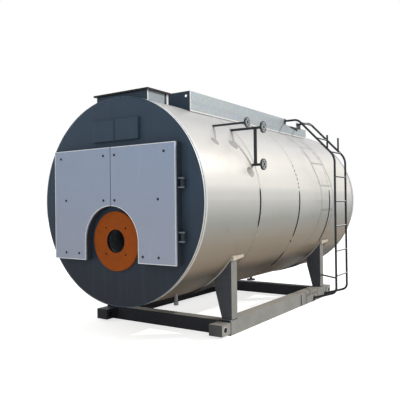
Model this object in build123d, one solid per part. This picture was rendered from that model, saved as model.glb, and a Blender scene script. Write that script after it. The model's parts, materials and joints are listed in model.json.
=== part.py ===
from build123d import *
import math
import os

# Horizontal fire-tube boiler on a skid, in millimetres.
# X runs to the right seen from the burner end, Y to the back and Z up.
# The origin is on the floor, under the middle of the front cross beam.
# Heights called "from axis" are measured from the boiler's centre line,
# and distances called "from front" from the face of the front plate.

# Boiler body
AXIS_HEIGHT = 1325.0            # centre line above the floor
BODY_LENGTH = 3980.0
CLAD_RADIUS = 1000.0            # outside of the stainless cladding
CLAD_THICK = 3.0
SHEET_COUNT = 4
SHEET_LAP = 34.0                # how far a sheet laps over the next one
LAP_RAMP = 8.0                  # length of the joggle before the lap
FIT = 0.3                       # gap between faces that seat on each other
RIM_WIDTH = 50.0
RIM_LIP = 6.0
RIM_THICK = 3.0
END_PLATE_THICK = 12.0

# Smokebox behind the front plate
SMOKEBOX_DEPTH = 450.0          # from front, to the tube plate
SMOKEBOX_WALL = 45.0
TUBE_PLATE_THICK = 24.0
TUBE_BORE_RADIUS = 40.0
TUBE_PITCH = 160.0
TUBE_EDGE = 120.0               # plate left outside the outermost tubes
TUBE_FIELD_BOTTOM = -420.0      # from axis
TUBE_CLEAR_OF_TUNNEL = 75.0

# Burner port
BURNER_DROP = 376.0             # burner centre below the axis
BURNER_BORE_RADIUS = 111.0
BURNER_FLANGE_RADIUS = 284.0
BURNER_FLANGE_THICK = 25.0
BURNER_BOLT_SQUARE = 249.0
BURNER_BOLT_RADIUS = 9.0
TUNNEL_RADIUS = 300.0

# Smokebox doors
DOOR_SIDE_INSET = 234.0         # hinged edge inside the cladding's radius
DOOR_FOOT_INSET = 436.0         # foot above the cladding's lowest line
DOOR_TOP_GAP = 67.0             # between the doors and the inspection covers
DOOR_SEAM = 8.0
DOOR_GAP = 5.0                  # running gap to the front plate
DOOR_BODY_THICK = 70.0
DOOR_COVER_THICK = 16.0
DOOR_COVER_CHAMFER = 3.0
DOOR_LAP = 60.0                 # door over the edge of the opening
ARCH_CLEAR = 51.0               # between the doors and the burner flange

# Door hinges
HINGE_HEIGHTS = (155.0, -316.0)     # from axis
HINGE_OUTSET = 35.0             # pin centre outside the door edge
HINGE_PIN_RADIUS = 10.0
HINGE_EYE_RADIUS = 20.0
HINGE_LUG_PITCH = 80.0          # between the two lugs of a hinge
HINGE_LUG_THICK = 12.0
HINGE_SIDE_GAP = 1.5
HINGE_PIN_END = 6.0             # pin beyond the outer lug face
HINGE_WEB = 28.0

# Inspection covers above the doors
UPPER_COVER_HALF_WIDTH = 294.0
UPPER_COVER_INSET = 218.0       # top edge below the cladding's highest line
UPPER_COVER_HEIGHT = 202.0
UPPER_COVER_SEAM = 8.0
UPPER_COVER_THICK = 30.0

# Round cover on the rear plate
REAR_COVER_RADIUS = 300.0
REAR_COVER_HUB_RADIUS = 200.0
REAR_COVER_THICK = 16.0
REAR_COVER_HUB = 14.0

# Flue outlet on top of the smokebox
FLUE_HALF_WIDTH = 325.0
FLUE_FRONT = 75.0               # from front
FLUE_DEPTH = 321.0
FLUE_RISE = 44.0                # walls above the cladding's highest line
FLUE_WALL = 6.0
FLUE_LIP = 25.0
FLUE_LIP_THICK = 16.0

# Walkway along the top
WALK_HALF_WIDTH = 444.0
WALK_FRONT = 598.0              # from front
WALK_REAR_SETBACK = 423.0       # rear end ahead of the rear plate
WALK_PLATE = 4.0
DECK_LIFT = 12.0                # deck underside above the cladding
DECK_THICK = 6.0
TOE_HEIGHT = 89.0               # toe boards above the deck
GATE_FROM_STILE = 35.0          # ladder opening behind the first stile
GATE_STEP = 12.0                # its sill above the deck
GATE_TAB_WIDTH = 70.0
LIFT_HOLE_RADIUS = 14.0
LIFT_HOLE_INSET = 46.0

# Flanged necks through the walkway deck
NECK_RISE = 95.0                # flange faces above the cladding
NECK_FLOOR = 5.0                # closed foot of a neck under its bore
NECK_BOLT_RADIUS = 9.0
NECK_CLEAR = 6.0                # deck hole round a neck
STEAM_FROM_MIDDLE = 160.0       # behind the middle of the body
STEAM_NECK_RADIUS = 57.0
STEAM_BORE_RADIUS = 50.0
STEAM_FLANGE_RADIUS = 110.0
STEAM_FLANGE_THICK = 20.0
STEAM_BOLT_CIRCLE = 90.0        # radius
STEAM_BOLT_COUNT = 8
SAFETY_FROM_MIDDLE = (-740.0, -340.0)
SAFETY_NECK_RADIUS = 30.0
SAFETY_BORE_RADIUS = 25.0
SAFETY_FLANGE_RADIUS = 82.5
SAFETY_FLANGE_THICK = 18.0
SAFETY_BOLT_CIRCLE = 62.5       # radius
SAFETY_BOLT_COUNT = 4

# Gauge connections on the ladder side
GAUGE_REACH = 65.0              # flange faces outside the cladding's radius
GAUGE_HEIGHT = 737.0            # from axis
GAUGE_FROM_FRONT = 659.0
GAUGE_PIPE_RADIUS = 10.7
GAUGE_BORE_RADIUS = 8.0
GAUGE_FLANGE_RADIUS = 47.5
GAUGE_FLANGE_THICK = 14.0
COLUMN_FROM_FRONT = 990.0
COLUMN_SETBACK = 97.0           # upright column inside the flange faces
COLUMN_TOP = 729.0              # from axis
COLUMN_BOTTOM = 357.0           # from axis
COLUMN_RADIUS = 17.0
COLUMN_BRANCH_RADIUS = 13.5
COLUMN_BORE_RADIUS = 10.0
COLUMN_FLANGE_RADIUS = 57.5
COLUMN_FLANGE_THICK = 16.0
GAUGE_BORE_DEPTH = 50.0

# Skid
RAIL_INSET = 175.0              # outer face inside the cladding's radius
RAIL_WIDTH = 130.0
RAIL_HEIGHT = 150.0
RAIL_WALL = 8.0
RAIL_TAIL = 215.0               # rail behind the front edge of the rear pad
BEAM_WIDTH = 120.0
BEAM_HEIGHT = 140.0
BEAM_LEAD = 10.0                # cross beams ahead of the pads
BEAM_CLEAR = 20.0               # least gap between a cross beam and a pad
STUB_WIDTH = 150.0
STUB_HEIGHT = 110.0
STUB_LENGTH = 165.0
STUB_LIFT = 20.0
STUB_HOLE_RADIUS = 22.0
STUB_HOLE_FROM_END = 62.0
DOUBLER_GAP = 40.0              # ahead of the first ladder stile
DOUBLER_LENGTH = 380.0
DOUBLER_THICK = 8.0
DOUBLER_EDGE = 10.0

# Saddles
FRONT_SADDLE = 715.0            # front edge of the front pad, from front
REAR_SADDLE_SETBACK = 915.0     # front edge of the rear pad, ahead of the rear plate
PAD_WIDTHS = (232.0, 260.0)
PAD_THICK = 12.0
PAD_END_ANGLE = 33.0            # pad ends below the horizontal, in degrees
LEG_INSET = 10.0                # leg behind the pad's front edge
LEG_DEPTH = 110.0
LEG_PLATE = 12.0
LEG_TOP_WIDTH = 190.0
LEG_FOOT_WIDTH = 112.0
LEG_TAPER_HEIGHT = 290.0

# Ladder
LADDER_CLEAR = 130.0            # stiles outside the cladding's radius
LADDER_SETBACK = 307.0          # second stile ahead of the walkway's rear end
LADDER_WIDTH = 410.0            # between stile centres
STILE_RADIUS = 14.0
RUNG_RADIUS = 10.0
FIRST_RUNG = 345.0              # above the floor
RUNG_PITCH = 320.0
RUNG_COUNT = 5
FOOT_HEIGHT = 40.0              # stile foot on the rail, above the floor
FOOT_BEND_HEIGHT = 134.0        # where the stile turns in, above the floor
FOOT_BEND_RADIUS = 80.0
FOOT_PAD_RADIUS = 32.0
FOOT_PAD_THICK = 10.0
KNEE_HEIGHT = 562.0             # from axis
KNEE_RADIUS = 200.0
HOOK_RUN = 187.0                # level end of a stile outside the walkway
HOOK_DROP = 29.0                # that end below the top of the toe board
HOOK_RADIUS = 120.0
INCLINE_RUNG_SHARES = (0.12, 0.50, 0.93)    # along the sloping run
POST_SETBACK = 95.0             # inside the upright run of the stiles
POST_LENGTH = 178.0             # above the sloping run
POST_RADIUS = 12.0
BRACE_RISE = 160.0              # on the leg, above the rail
BRACE_CLIMB = 10.0              # higher at the stile

# Fittings under the drum
DRAIN_X = 485.0
DRAIN_FROM_FRONT = 273.0
DRAIN_RADIUS = 16.0
DRAIN_LENGTH = 110.0
DRAIN_COLLAR_RADIUS = 22.0
DRAIN_COLLAR_LENGTH = 34.0
BLOWDOWN_FROM_REAR = 1340.0     # ahead of the rear plate
BLOWDOWN_RADIUS = 17.0
BLOWDOWN_LENGTH = 84.0
BLOWDOWN_FLANGE_RADIUS = 57.5
BLOWDOWN_FLANGE_THICK = 16.0

# Places along the boiler, worked out from the sizes above
RAIL_FRONT = FRONT_SADDLE - BEAM_LEAD           # from front
FRONT_Y = -(RAIL_FRONT + BEAM_WIDTH / 2)
REAR_Y = FRONT_Y + BODY_LENGTH
MIDDLE_Y = (FRONT_Y + REAR_Y) / 2
REAR_SADDLE = BODY_LENGTH - REAR_SADDLE_SETBACK     # from front
SADDLES_FROM_FRONT = (FRONT_SADDLE, REAR_SADDLE)
RAIL_START_Y = FRONT_Y + RAIL_FRONT
RAIL_END_Y = FRONT_Y + REAR_SADDLE + RAIL_TAIL
TUBE_PLATE_Y = FRONT_Y + SMOKEBOX_DEPTH
DRUM_Y = TUBE_PLATE_Y + TUBE_PLATE_THICK
WALK_START_Y = FRONT_Y + WALK_FRONT
WALK_END_Y = REAR_Y - WALK_REAR_SETBACK
SECOND_STILE_Y = WALK_END_Y - LADDER_SETBACK
FIRST_STILE_Y = SECOND_STILE_Y - LADDER_WIDTH

# Radii and heights from the axis, worked out from the sizes above
BODY_RADIUS = CLAD_RADIUS - CLAD_THICK - FIT
LAP_RADIUS = CLAD_RADIUS + FIT + CLAD_THICK
SEAT_RADIUS = CLAD_RADIUS + FIT
PAD_RADIUS = SEAT_RADIUS + PAD_THICK
TUBE_FIELD_RADIUS = BODY_RADIUS - SMOKEBOX_WALL - TUBE_EDGE
BURNER_Z = -BURNER_DROP
FLOOR = -AXIS_HEIGHT
RAIL_TOP = FLOOR + RAIL_HEIGHT
RAIL_OUTER_X = CLAD_RADIUS - RAIL_INSET
RAIL_INNER_X = RAIL_OUTER_X - RAIL_WIDTH
FLUE_TOP = CLAD_RADIUS + FLUE_RISE
NECK_FACE = CLAD_RADIUS + NECK_RISE
DECK_Z = CLAD_RADIUS + DECK_LIFT
DECK_TOP = DECK_Z + DECK_THICK
GATE_SILL = DECK_TOP + GATE_STEP
WALK_TOP = DECK_TOP + TOE_HEIGHT
GAUGE_FACE_X = CLAD_RADIUS + GAUGE_REACH
COLUMN_X = GAUGE_FACE_X - COLUMN_SETBACK
LADDER_X = CLAD_RADIUS + LADDER_CLEAR
BRACE_HEIGHT = RAIL_TOP + BRACE_RISE

# The doors and their hinges, worked out from the sizes above
ARCH_RADIUS = BURNER_FLANGE_RADIUS + ARCH_CLEAR
UPPER_COVER_TOP = CLAD_RADIUS - UPPER_COVER_INSET
UPPER_COVER_BOTTOM = UPPER_COVER_TOP - UPPER_COVER_HEIGHT
DOOR_TOP = UPPER_COVER_BOTTOM - DOOR_TOP_GAP
DOOR_BOTTOM = DOOR_FOOT_INSET - CLAD_RADIUS
DOOR_HALF_WIDTH = CLAD_RADIUS - DOOR_SIDE_INSET
DOOR_BACK_Y = FRONT_Y - DOOR_GAP
COVER_BACK_Y = DOOR_BACK_Y - DOOR_BODY_THICK
DOOR_FRONT_Y = COVER_BACK_Y - DOOR_COVER_THICK
HINGE_X = DOOR_HALF_WIDTH + HINGE_OUTSET
HINGE_Y = DOOR_BACK_Y - DOOR_BODY_THICK / 2

AXIS_LINE = Axis((0, 0, AXIS_HEIGHT), (0, 1, 0))


# Helpers

def block(x0, x1, y0, y1, z0, z1):
    """A box between two corners, its heights measured from the axis."""
    size = Box(x1 - x0, y1 - y0, z1 - z0)
    return Pos((x0 + x1) / 2, (y0 + y1) / 2, AXIS_HEIGHT + (z0 + z1) / 2) * size


def rod_y(radius, y0, y1, x=0.0, z=0.0):
    """A round bar along Y, its height measured from the axis."""
    return Pos(x, (y0 + y1) / 2, AXIS_HEIGHT + z) * Rot(90, 0, 0) * Cylinder(radius, y1 - y0)


def rod_x(radius, x0, x1, y, z):
    """A round bar along X, its height measured from the axis."""
    return Pos((x0 + x1) / 2, y, AXIS_HEIGHT + z) * Rot(0, 90, 0) * Cylinder(radius, x1 - x0)


def rod_z(radius, z0, z1, x, y):
    """An upright round bar, its heights measured from the axis."""
    return Pos(x, y, AXIS_HEIGHT + (z0 + z1) / 2) * Cylinder(radius, z1 - z0)


def slab(outline, y_back, y_front):
    """A plate across the axis from an outline in X and height from the axis."""
    plane = Plane(origin=(0, y_back, AXIS_HEIGHT), x_dir=(1, 0, 0), z_dir=(0, -1, 0))
    return extrude(plane * outline, amount=y_back - y_front)


def side_plate(outline, x_inner, x_outer):
    """A plate along the axis from an outline in Y and height from the axis."""
    plane = Plane(origin=(x_inner, 0, AXIS_HEIGHT), x_dir=(0, 1, 0), z_dir=(1, 0, 0))
    return extrude(plane * outline, amount=x_outer - x_inner)


def turned(points):
    """A ring turned about the boiler axis from points of (radius, Y)."""
    profile = Pos(0, 0, AXIS_HEIGHT) * make_face(Polyline(*points, close=True))
    return revolve(profile, axis=AXIS_LINE)


def clad_core(radius):
    """The full length of the boiler as a cylinder, to cut seats with."""
    return rod_y(radius, FRONT_Y - CLAD_RADIUS, REAR_Y + CLAD_RADIUS)


def mirrored(shape):
    """The same piece on the other side of the boiler."""
    return mirror(shape, about=Plane.YZ)


def around(count, radius, start=0.0):
    """Places on a circle, as pairs of offsets."""
    angles = [start + 2 * math.pi * i / count for i in range(count)]
    return [(radius * math.cos(angle), radius * math.sin(angle)) for angle in angles]


# Boiler body

def drum():
    """The closed pressure body with its insulation."""
    return rod_y(BODY_RADIUS, DRUM_Y, REAR_Y - END_PLATE_THICK)


def flue_hole():
    """The way from the smokebox up into the flue outlet."""
    inner = FLUE_HALF_WIDTH - FLUE_WALL
    front = FRONT_Y + FLUE_FRONT + FLUE_WALL
    back = FRONT_Y + FLUE_FRONT + FLUE_DEPTH - FLUE_WALL
    return block(-inner, inner, front, back, 0, FLUE_TOP + FLUE_LIP_THICK)


def smokebox_shell():
    """The ring round the smokebox, open to the flue at its top."""
    front = FRONT_Y + END_PLATE_THICK
    ring = rod_y(BODY_RADIUS, front, DRUM_Y) - rod_y(BODY_RADIUS - SMOKEBOX_WALL, front, DRUM_Y)
    return ring - flue_hole()


def tube_places():
    """Staggered places of the smoke tubes, round and above the furnace."""
    row_rise = TUBE_PITCH * math.cos(math.pi / 6)
    rows = int(TUBE_FIELD_RADIUS // row_rise)
    columns = int(TUBE_FIELD_RADIUS // TUBE_PITCH) + 1
    keep_out = TUNNEL_RADIUS + TUBE_CLEAR_OF_TUNNEL + TUBE_BORE_RADIUS
    places = []
    for row in range(-rows, rows + 1):
        shift = TUBE_PITCH / 2 if row % 2 else 0.0
        for column in range(-columns, columns + 1):
            x = column * TUBE_PITCH + shift
            z = row * row_rise
            in_field = math.hypot(x, z) + TUBE_BORE_RADIUS < TUBE_FIELD_RADIUS
            clear = math.hypot(x, z - BURNER_Z) > keep_out
            if in_field and clear and z > TUBE_FIELD_BOTTOM:
                places.append((x, z))
    return places


def tube_plate():
    """The plate that carries the smoke tubes, at the back of the smokebox."""
    outline = Circle(BODY_RADIUS - SMOKEBOX_WALL - FIT)
    for x, z in tube_places():
        outline -= Pos(x, z) * Circle(TUBE_BORE_RADIUS)
    return slab(outline, DRUM_Y, TUBE_PLATE_Y)


def arch(radius, bottom):
    """The outline round the burner: a half circle on straight sides."""
    height = BURNER_Z - bottom
    outline = Pos(0, BURNER_Z) * Circle(radius)
    return outline + Pos(0, BURNER_Z - height / 2) * Rectangle(2 * radius, height)


def front_plate():
    """The front end plate with the opening behind the doors."""
    half = DOOR_HALF_WIDTH - DOOR_LAP
    top = DOOR_TOP - DOOR_LAP
    bottom = DOOR_BOTTOM + DOOR_LAP
    opening = Pos(0, (top + bottom) / 2) * Rectangle(2 * half, top - bottom)
    opening -= arch(ARCH_RADIUS + DOOR_LAP, bottom)
    outline = Circle(BODY_RADIUS) - opening - Pos(0, BURNER_Z) * Circle(BURNER_BORE_RADIUS)
    return slab(outline, FRONT_Y + END_PLATE_THICK, FRONT_Y)


def rear_plate():
    """The flat rear end plate."""
    return rod_y(BODY_RADIUS, REAR_Y - END_PLATE_THICK, REAR_Y)


def rear_cover():
    """The round bolted cover over the rear access hole."""
    rim = rod_y(REAR_COVER_RADIUS, REAR_Y, REAR_Y + REAR_COVER_THICK, z=BURNER_Z)
    hub_back = REAR_Y + REAR_COVER_THICK + REAR_COVER_HUB
    hub = rod_y(REAR_COVER_HUB_RADIUS, REAR_Y + REAR_COVER_THICK, hub_back, z=BURNER_Z)
    return rim + hub


def end_rims():
    """The folded rings that hold the cladding at both ends."""
    inner = SEAT_RADIUS
    outer = inner + RIM_THICK
    lip = CLAD_RADIUS - RIM_LIP
    front = [
        (lip, FRONT_Y - RIM_THICK),
        (outer, FRONT_Y - RIM_THICK),
        (outer, FRONT_Y + RIM_WIDTH),
        (inner, FRONT_Y + RIM_WIDTH),
        (inner, FRONT_Y),
        (lip, FRONT_Y),
    ]
    rear = [(radius, FRONT_Y + REAR_Y - y) for radius, y in front]
    return [turned(front), turned(rear)]


def seam_y(index):
    """Where the sheet of that index starts, behind the one before it."""
    pitch = (BODY_LENGTH - RIM_WIDTH) / SHEET_COUNT
    return FRONT_Y + RIM_WIDTH + index * pitch


def lap_relief(index):
    """Room for the lap at a seam, to cut from what the boiler lies on."""
    seam = seam_y(index)
    return rod_y(LAP_RADIUS + FIT, seam - LAP_RAMP - FIT, seam + SHEET_LAP + FIT)


def cladding_sheet(index):
    """One stainless sheet, lapped over the next one at its rear edge."""
    start = FRONT_Y if index == 0 else seam_y(index) + FIT
    inner = CLAD_RADIUS - CLAD_THICK
    if index == SHEET_COUNT - 1:
        return turned([(inner, start), (CLAD_RADIUS, start), (CLAD_RADIUS, REAR_Y), (inner, REAR_Y)])
    seam = seam_y(index + 1)
    sheet = turned([
        (inner, start),
        (CLAD_RADIUS, start),
        (CLAD_RADIUS, seam - LAP_RAMP),
        (LAP_RADIUS, seam),
        (LAP_RADIUS, seam + SHEET_LAP),
        (SEAT_RADIUS, seam + SHEET_LAP),
        (SEAT_RADIUS, seam),
        (inner, seam - LAP_RAMP),
    ])
    return sheet - flue_hole() if index == 0 else sheet


# Burner port

def burner_flange():
    """The flange a burner bolts to."""
    half = BURNER_BOLT_SQUARE / 2
    outline = Circle(BURNER_FLANGE_RADIUS) - Circle(BURNER_BORE_RADIUS)
    for x in (-half, half):
        for z in (-half, half):
            outline -= Pos(x, z) * Circle(BURNER_BOLT_RADIUS)
    return slab(Pos(0, BURNER_Z) * outline, FRONT_Y, FRONT_Y - BURNER_FLANGE_THICK)


def burner_tunnel():
    """The lined tunnel from the flange through the smokebox."""
    front = FRONT_Y + END_PLATE_THICK
    outside = rod_y(TUNNEL_RADIUS, front, TUBE_PLATE_Y, z=BURNER_Z)
    return outside - rod_y(BURNER_BORE_RADIUS, front, TUBE_PLATE_Y, z=BURNER_Z)


# Doors and covers

def door_outline():
    """The right-hand door seen from the front, cut round the burner."""
    inner = DOOR_SEAM / 2
    width = DOOR_HALF_WIDTH - inner
    height = DOOR_TOP - DOOR_BOTTOM
    outline = Pos(inner + width / 2, DOOR_BOTTOM + height / 2) * Rectangle(width, height)
    return outline - arch(ARCH_RADIUS, DOOR_BOTTOM)


def hinge_lugs():
    """Pairs of plates with eyes on the right-hand door's outer edge."""
    lugs = []
    for height in HINGE_HEIGHTS:
        for side in (-0.5, 0.5):
            middle = height + side * HINGE_LUG_PITCH
            low = middle - HINGE_LUG_THICK / 2
            high = middle + HINGE_LUG_THICK / 2
            arm = block(
                DOOR_HALF_WIDTH, HINGE_X, HINGE_Y - HINGE_EYE_RADIUS, HINGE_Y + HINGE_EYE_RADIUS, low, high
            )
            eye = rod_z(HINGE_EYE_RADIUS, low, high, HINGE_X, HINGE_Y)
            hole = rod_z(HINGE_PIN_RADIUS + FIT, low, high, HINGE_X, HINGE_Y)
            lugs.append(arm + eye - hole)
    return lugs


def right_door():
    """The insulated door body with its hinge lugs."""
    body = slab(door_outline(), DOOR_BACK_Y, COVER_BACK_Y)
    for lug in hinge_lugs():
        body += lug
    return body


def right_door_cover():
    """The folded cover sheet on the front of the door."""
    cover = slab(door_outline(), COVER_BACK_Y, DOOR_FRONT_Y)
    front_edges = cover.faces().sort_by(Axis.Y)[0].edges()
    return chamfer(front_edges, DOOR_COVER_CHAMFER)


def hinge_brackets():
    """Fixed knuckles with pins, on the front plate beside both doors."""
    brackets = []
    half_knuckle = (HINGE_LUG_PITCH - HINGE_LUG_THICK) / 2 - HINGE_SIDE_GAP
    half_pin = (HINGE_LUG_PITCH + HINGE_LUG_THICK) / 2 + HINGE_PIN_END
    half_web = HINGE_WEB / 2
    for height in HINGE_HEIGHTS:
        low = height - half_knuckle
        high = height + half_knuckle
        knuckle = rod_z(HINGE_EYE_RADIUS, low, high, HINGE_X, HINGE_Y)
        web = block(HINGE_X - half_web, HINGE_X + half_web, HINGE_Y, FRONT_Y, low, high)
        pin = rod_z(HINGE_PIN_RADIUS, height - half_pin, height + half_pin, HINGE_X, HINGE_Y)
        bracket = knuckle + web + pin
        brackets += [bracket, mirrored(bracket)]
    return brackets


def upper_covers():
    """Two inspection covers over the top of the smokebox."""
    inner = UPPER_COVER_SEAM / 2
    right = block(
        inner, UPPER_COVER_HALF_WIDTH,
        FRONT_Y - UPPER_COVER_THICK, FRONT_Y,
        UPPER_COVER_BOTTOM, UPPER_COVER_TOP
    )
    return [right, mirrored(right)]


# Flue outlet

def flue_outlet():
    """The four walls of the flue outlet, cut to sit on the cladding."""
    front = FRONT_Y + FLUE_FRONT
    base = math.sqrt(SEAT_RADIUS ** 2 - FLUE_HALF_WIDTH ** 2) - FLUE_WALL
    walls = block(-FLUE_HALF_WIDTH, FLUE_HALF_WIDTH, front, front + FLUE_DEPTH, base, FLUE_TOP)
    return walls - flue_hole() - clad_core(SEAT_RADIUS)


def flue_flange():
    """The outward lip round the top of the flue outlet."""
    half = FLUE_HALF_WIDTH + FLUE_LIP
    front = FRONT_Y + FLUE_FRONT - FLUE_LIP
    back = FRONT_Y + FLUE_FRONT + FLUE_DEPTH + FLUE_LIP
    return block(-half, half, front, back, FLUE_TOP, FLUE_TOP + FLUE_LIP_THICK) - flue_hole()


# Walkway

def toe_outline(gate):
    """A long toe board in Y and height, with or without the ladder opening."""
    length = WALK_END_Y - WALK_START_Y
    middle = (WALK_END_Y + WALK_START_Y) / 2
    lap_seat = LAP_RADIUS + FIT
    bottom = math.sqrt(lap_seat ** 2 - (WALK_HALF_WIDTH - WALK_PLATE) ** 2)
    outline = Pos(middle, (bottom + WALK_TOP) / 2) * Rectangle(length, WALK_TOP - bottom)
    if not gate:
        return outline
    gate_start = FIRST_STILE_Y + GATE_FROM_STILE
    gate_mid = (GATE_SILL + WALK_TOP) / 2
    depth = WALK_TOP - GATE_SILL
    outline -= Pos((gate_start + WALK_END_Y) / 2, gate_mid) * Rectangle(WALK_END_Y - gate_start, depth)
    return outline + Pos(SECOND_STILE_Y, gate_mid) * Rectangle(GATE_TAB_WIDTH, depth)


def walkway_side(gate):
    """A side of the walkway, on the right where it has the opening."""
    plate = side_plate(toe_outline(gate), WALK_HALF_WIDTH - WALK_PLATE, WALK_HALF_WIDTH)
    return plate if gate else mirrored(plate)


def walkway_end(y_front, top):
    """An end of the walkway between its sides, cut over the cladding."""
    half = WALK_HALF_WIDTH - WALK_PLATE
    base = math.sqrt(SEAT_RADIUS ** 2 - half ** 2) - WALK_PLATE
    plate = block(-half, half, y_front, y_front + WALK_PLATE, base, top)
    return plate - clad_core(LAP_RADIUS + FIT)


def walkway_front():
    """The front toe board, with a lifting hole in its right-hand corner."""
    x = WALK_HALF_WIDTH - WALK_PLATE - LIFT_HOLE_INSET
    z = WALK_TOP - LIFT_HOLE_INSET
    hole = rod_y(LIFT_HOLE_RADIUS, WALK_START_Y, WALK_START_Y + WALK_PLATE, x, z)
    return walkway_end(WALK_START_Y, WALK_TOP) - hole


def walkway_deck():
    """The deck plate, with holes for the necks that pass it."""
    half = WALK_HALF_WIDTH - WALK_PLATE
    deck = block(-half, half, WALK_START_Y + WALK_PLATE, WALK_END_Y - WALK_PLATE, DECK_Z, DECK_TOP)
    steam_hole = STEAM_NECK_RADIUS + NECK_CLEAR
    deck -= rod_z(steam_hole, DECK_Z, DECK_TOP, 0, MIDDLE_Y + STEAM_FROM_MIDDLE)
    for place in SAFETY_FROM_MIDDLE:
        deck -= rod_z(SAFETY_NECK_RADIUS + NECK_CLEAR, DECK_Z, DECK_TOP, 0, MIDDLE_Y + place)
    return deck


def flanged_neck(y, neck_radius, bore_radius, flange_radius, flange_thick):
    """A short upright neck on the drum with a flange on top."""
    neck = rod_z(neck_radius, CLAD_RADIUS - neck_radius, NECK_FACE, 0, y)
    neck += rod_z(flange_radius, NECK_FACE - flange_thick, NECK_FACE, 0, y)
    neck -= rod_z(bore_radius, CLAD_RADIUS + NECK_FLOOR, NECK_FACE, 0, y)
    return neck - clad_core(SEAT_RADIUS)


def neck_bolt_holes(y, flange_thick, bolt_circle, count):
    """The bolt holes of a neck's flange, on either side of its centre lines."""
    low = NECK_FACE - flange_thick
    places = around(count, bolt_circle, math.pi / count)
    return [rod_z(NECK_BOLT_RADIUS, low, NECK_FACE, dx, y + dy) for dx, dy in places]


def steam_neck():
    """The main steam outlet."""
    y = MIDDLE_Y + STEAM_FROM_MIDDLE
    neck = flanged_neck(y, STEAM_NECK_RADIUS, STEAM_BORE_RADIUS, STEAM_FLANGE_RADIUS, STEAM_FLANGE_THICK)
    for hole in neck_bolt_holes(y, STEAM_FLANGE_THICK, STEAM_BOLT_CIRCLE, STEAM_BOLT_COUNT):
        neck -= hole
    return neck


def safety_neck(y):
    """A safety valve outlet."""
    neck = flanged_neck(y, SAFETY_NECK_RADIUS, SAFETY_BORE_RADIUS, SAFETY_FLANGE_RADIUS, SAFETY_FLANGE_THICK)
    for hole in neck_bolt_holes(y, SAFETY_FLANGE_THICK, SAFETY_BOLT_CIRCLE, SAFETY_BOLT_COUNT):
        neck -= hole
    return neck


# Gauge connections

def gauge_branch(height, place, pipe_radius, bore_radius, flange_radius, flange_thick):
    """A level pipe out of the cladding with a flange on its end, and its bore."""
    y = FRONT_Y + place
    pipe = rod_x(pipe_radius, 0, GAUGE_FACE_X, y, height) - clad_core(SEAT_RADIUS)
    flange = rod_x(flange_radius, GAUGE_FACE_X - flange_thick, GAUGE_FACE_X, y, height)
    bore = rod_x(bore_radius, GAUGE_FACE_X - GAUGE_BORE_DEPTH, GAUGE_FACE_X, y, height)
    return pipe + flange, bore


def gauge_pipe():
    """The single pressure gauge connection."""
    branch, bore = gauge_branch(
        GAUGE_HEIGHT, GAUGE_FROM_FRONT, GAUGE_PIPE_RADIUS, GAUGE_BORE_RADIUS,
        GAUGE_FLANGE_RADIUS, GAUGE_FLANGE_THICK
    )
    return branch - bore


def water_column():
    """Two level branches joined by the upright water column."""
    column = rod_z(COLUMN_RADIUS, COLUMN_BOTTOM, COLUMN_TOP, COLUMN_X, FRONT_Y + COLUMN_FROM_FRONT)
    bores = []
    for height in (COLUMN_TOP, COLUMN_BOTTOM):
        branch, bore = gauge_branch(
            height, COLUMN_FROM_FRONT, COLUMN_BRANCH_RADIUS, COLUMN_BORE_RADIUS,
            COLUMN_FLANGE_RADIUS, COLUMN_FLANGE_THICK
        )
        column += branch
        bores.append(bore)
    for bore in bores:
        column -= bore
    return column


# Skid and saddles

def rail():
    """The right-hand box rail with its doubler plate."""
    outside = block(RAIL_INNER_X, RAIL_OUTER_X, RAIL_START_Y, RAIL_END_Y, FLOOR, RAIL_TOP)
    inside = block(
        RAIL_INNER_X + RAIL_WALL, RAIL_OUTER_X - RAIL_WALL,
        RAIL_START_Y, RAIL_END_Y,
        FLOOR + RAIL_WALL, RAIL_TOP - RAIL_WALL
    )
    doubler_end = FIRST_STILE_Y - DOUBLER_GAP
    doubler = block(
        RAIL_OUTER_X, RAIL_OUTER_X + DOUBLER_THICK,
        doubler_end - DOUBLER_LENGTH, doubler_end,
        FLOOR + DOUBLER_EDGE, RAIL_TOP - DOUBLER_EDGE
    )
    return outside - inside + doubler


def cross_beam(saddle):
    """A box beam between the rails under a saddle, kept clear of its pad."""
    front = FRONT_Y + saddle - BEAM_LEAD
    back = front + BEAM_WIDTH
    top = FLOOR + BEAM_HEIGHT
    outside = block(-RAIL_INNER_X, RAIL_INNER_X, front, back, FLOOR, top)
    inside = block(
        -RAIL_INNER_X, RAIL_INNER_X,
        front + RAIL_WALL, back - RAIL_WALL,
        FLOOR + RAIL_WALL, top - RAIL_WALL
    )
    return outside - inside - clad_core(PAD_RADIUS + BEAM_CLEAR)


def end_stubs():
    """Hauling lugs on the four ends of the rails, each with a cross hole."""
    stubs = []
    outer = RAIL_OUTER_X
    inner = outer - STUB_WIDTH
    low = FLOOR + STUB_LIFT
    middle = low + STUB_HEIGHT / 2
    front = RAIL_START_Y - STUB_LENGTH
    back = RAIL_END_Y + STUB_LENGTH
    for start, hole in (
        (front, front + STUB_HOLE_FROM_END),
        (RAIL_END_Y, back - STUB_HOLE_FROM_END),
    ):
        stub = block(inner, outer, start, start + STUB_LENGTH, low, low + STUB_HEIGHT)
        stub -= rod_x(STUB_HOLE_RADIUS, inner, outer, hole, middle)
        stubs += [stub, mirrored(stub)]
    return stubs


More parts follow.
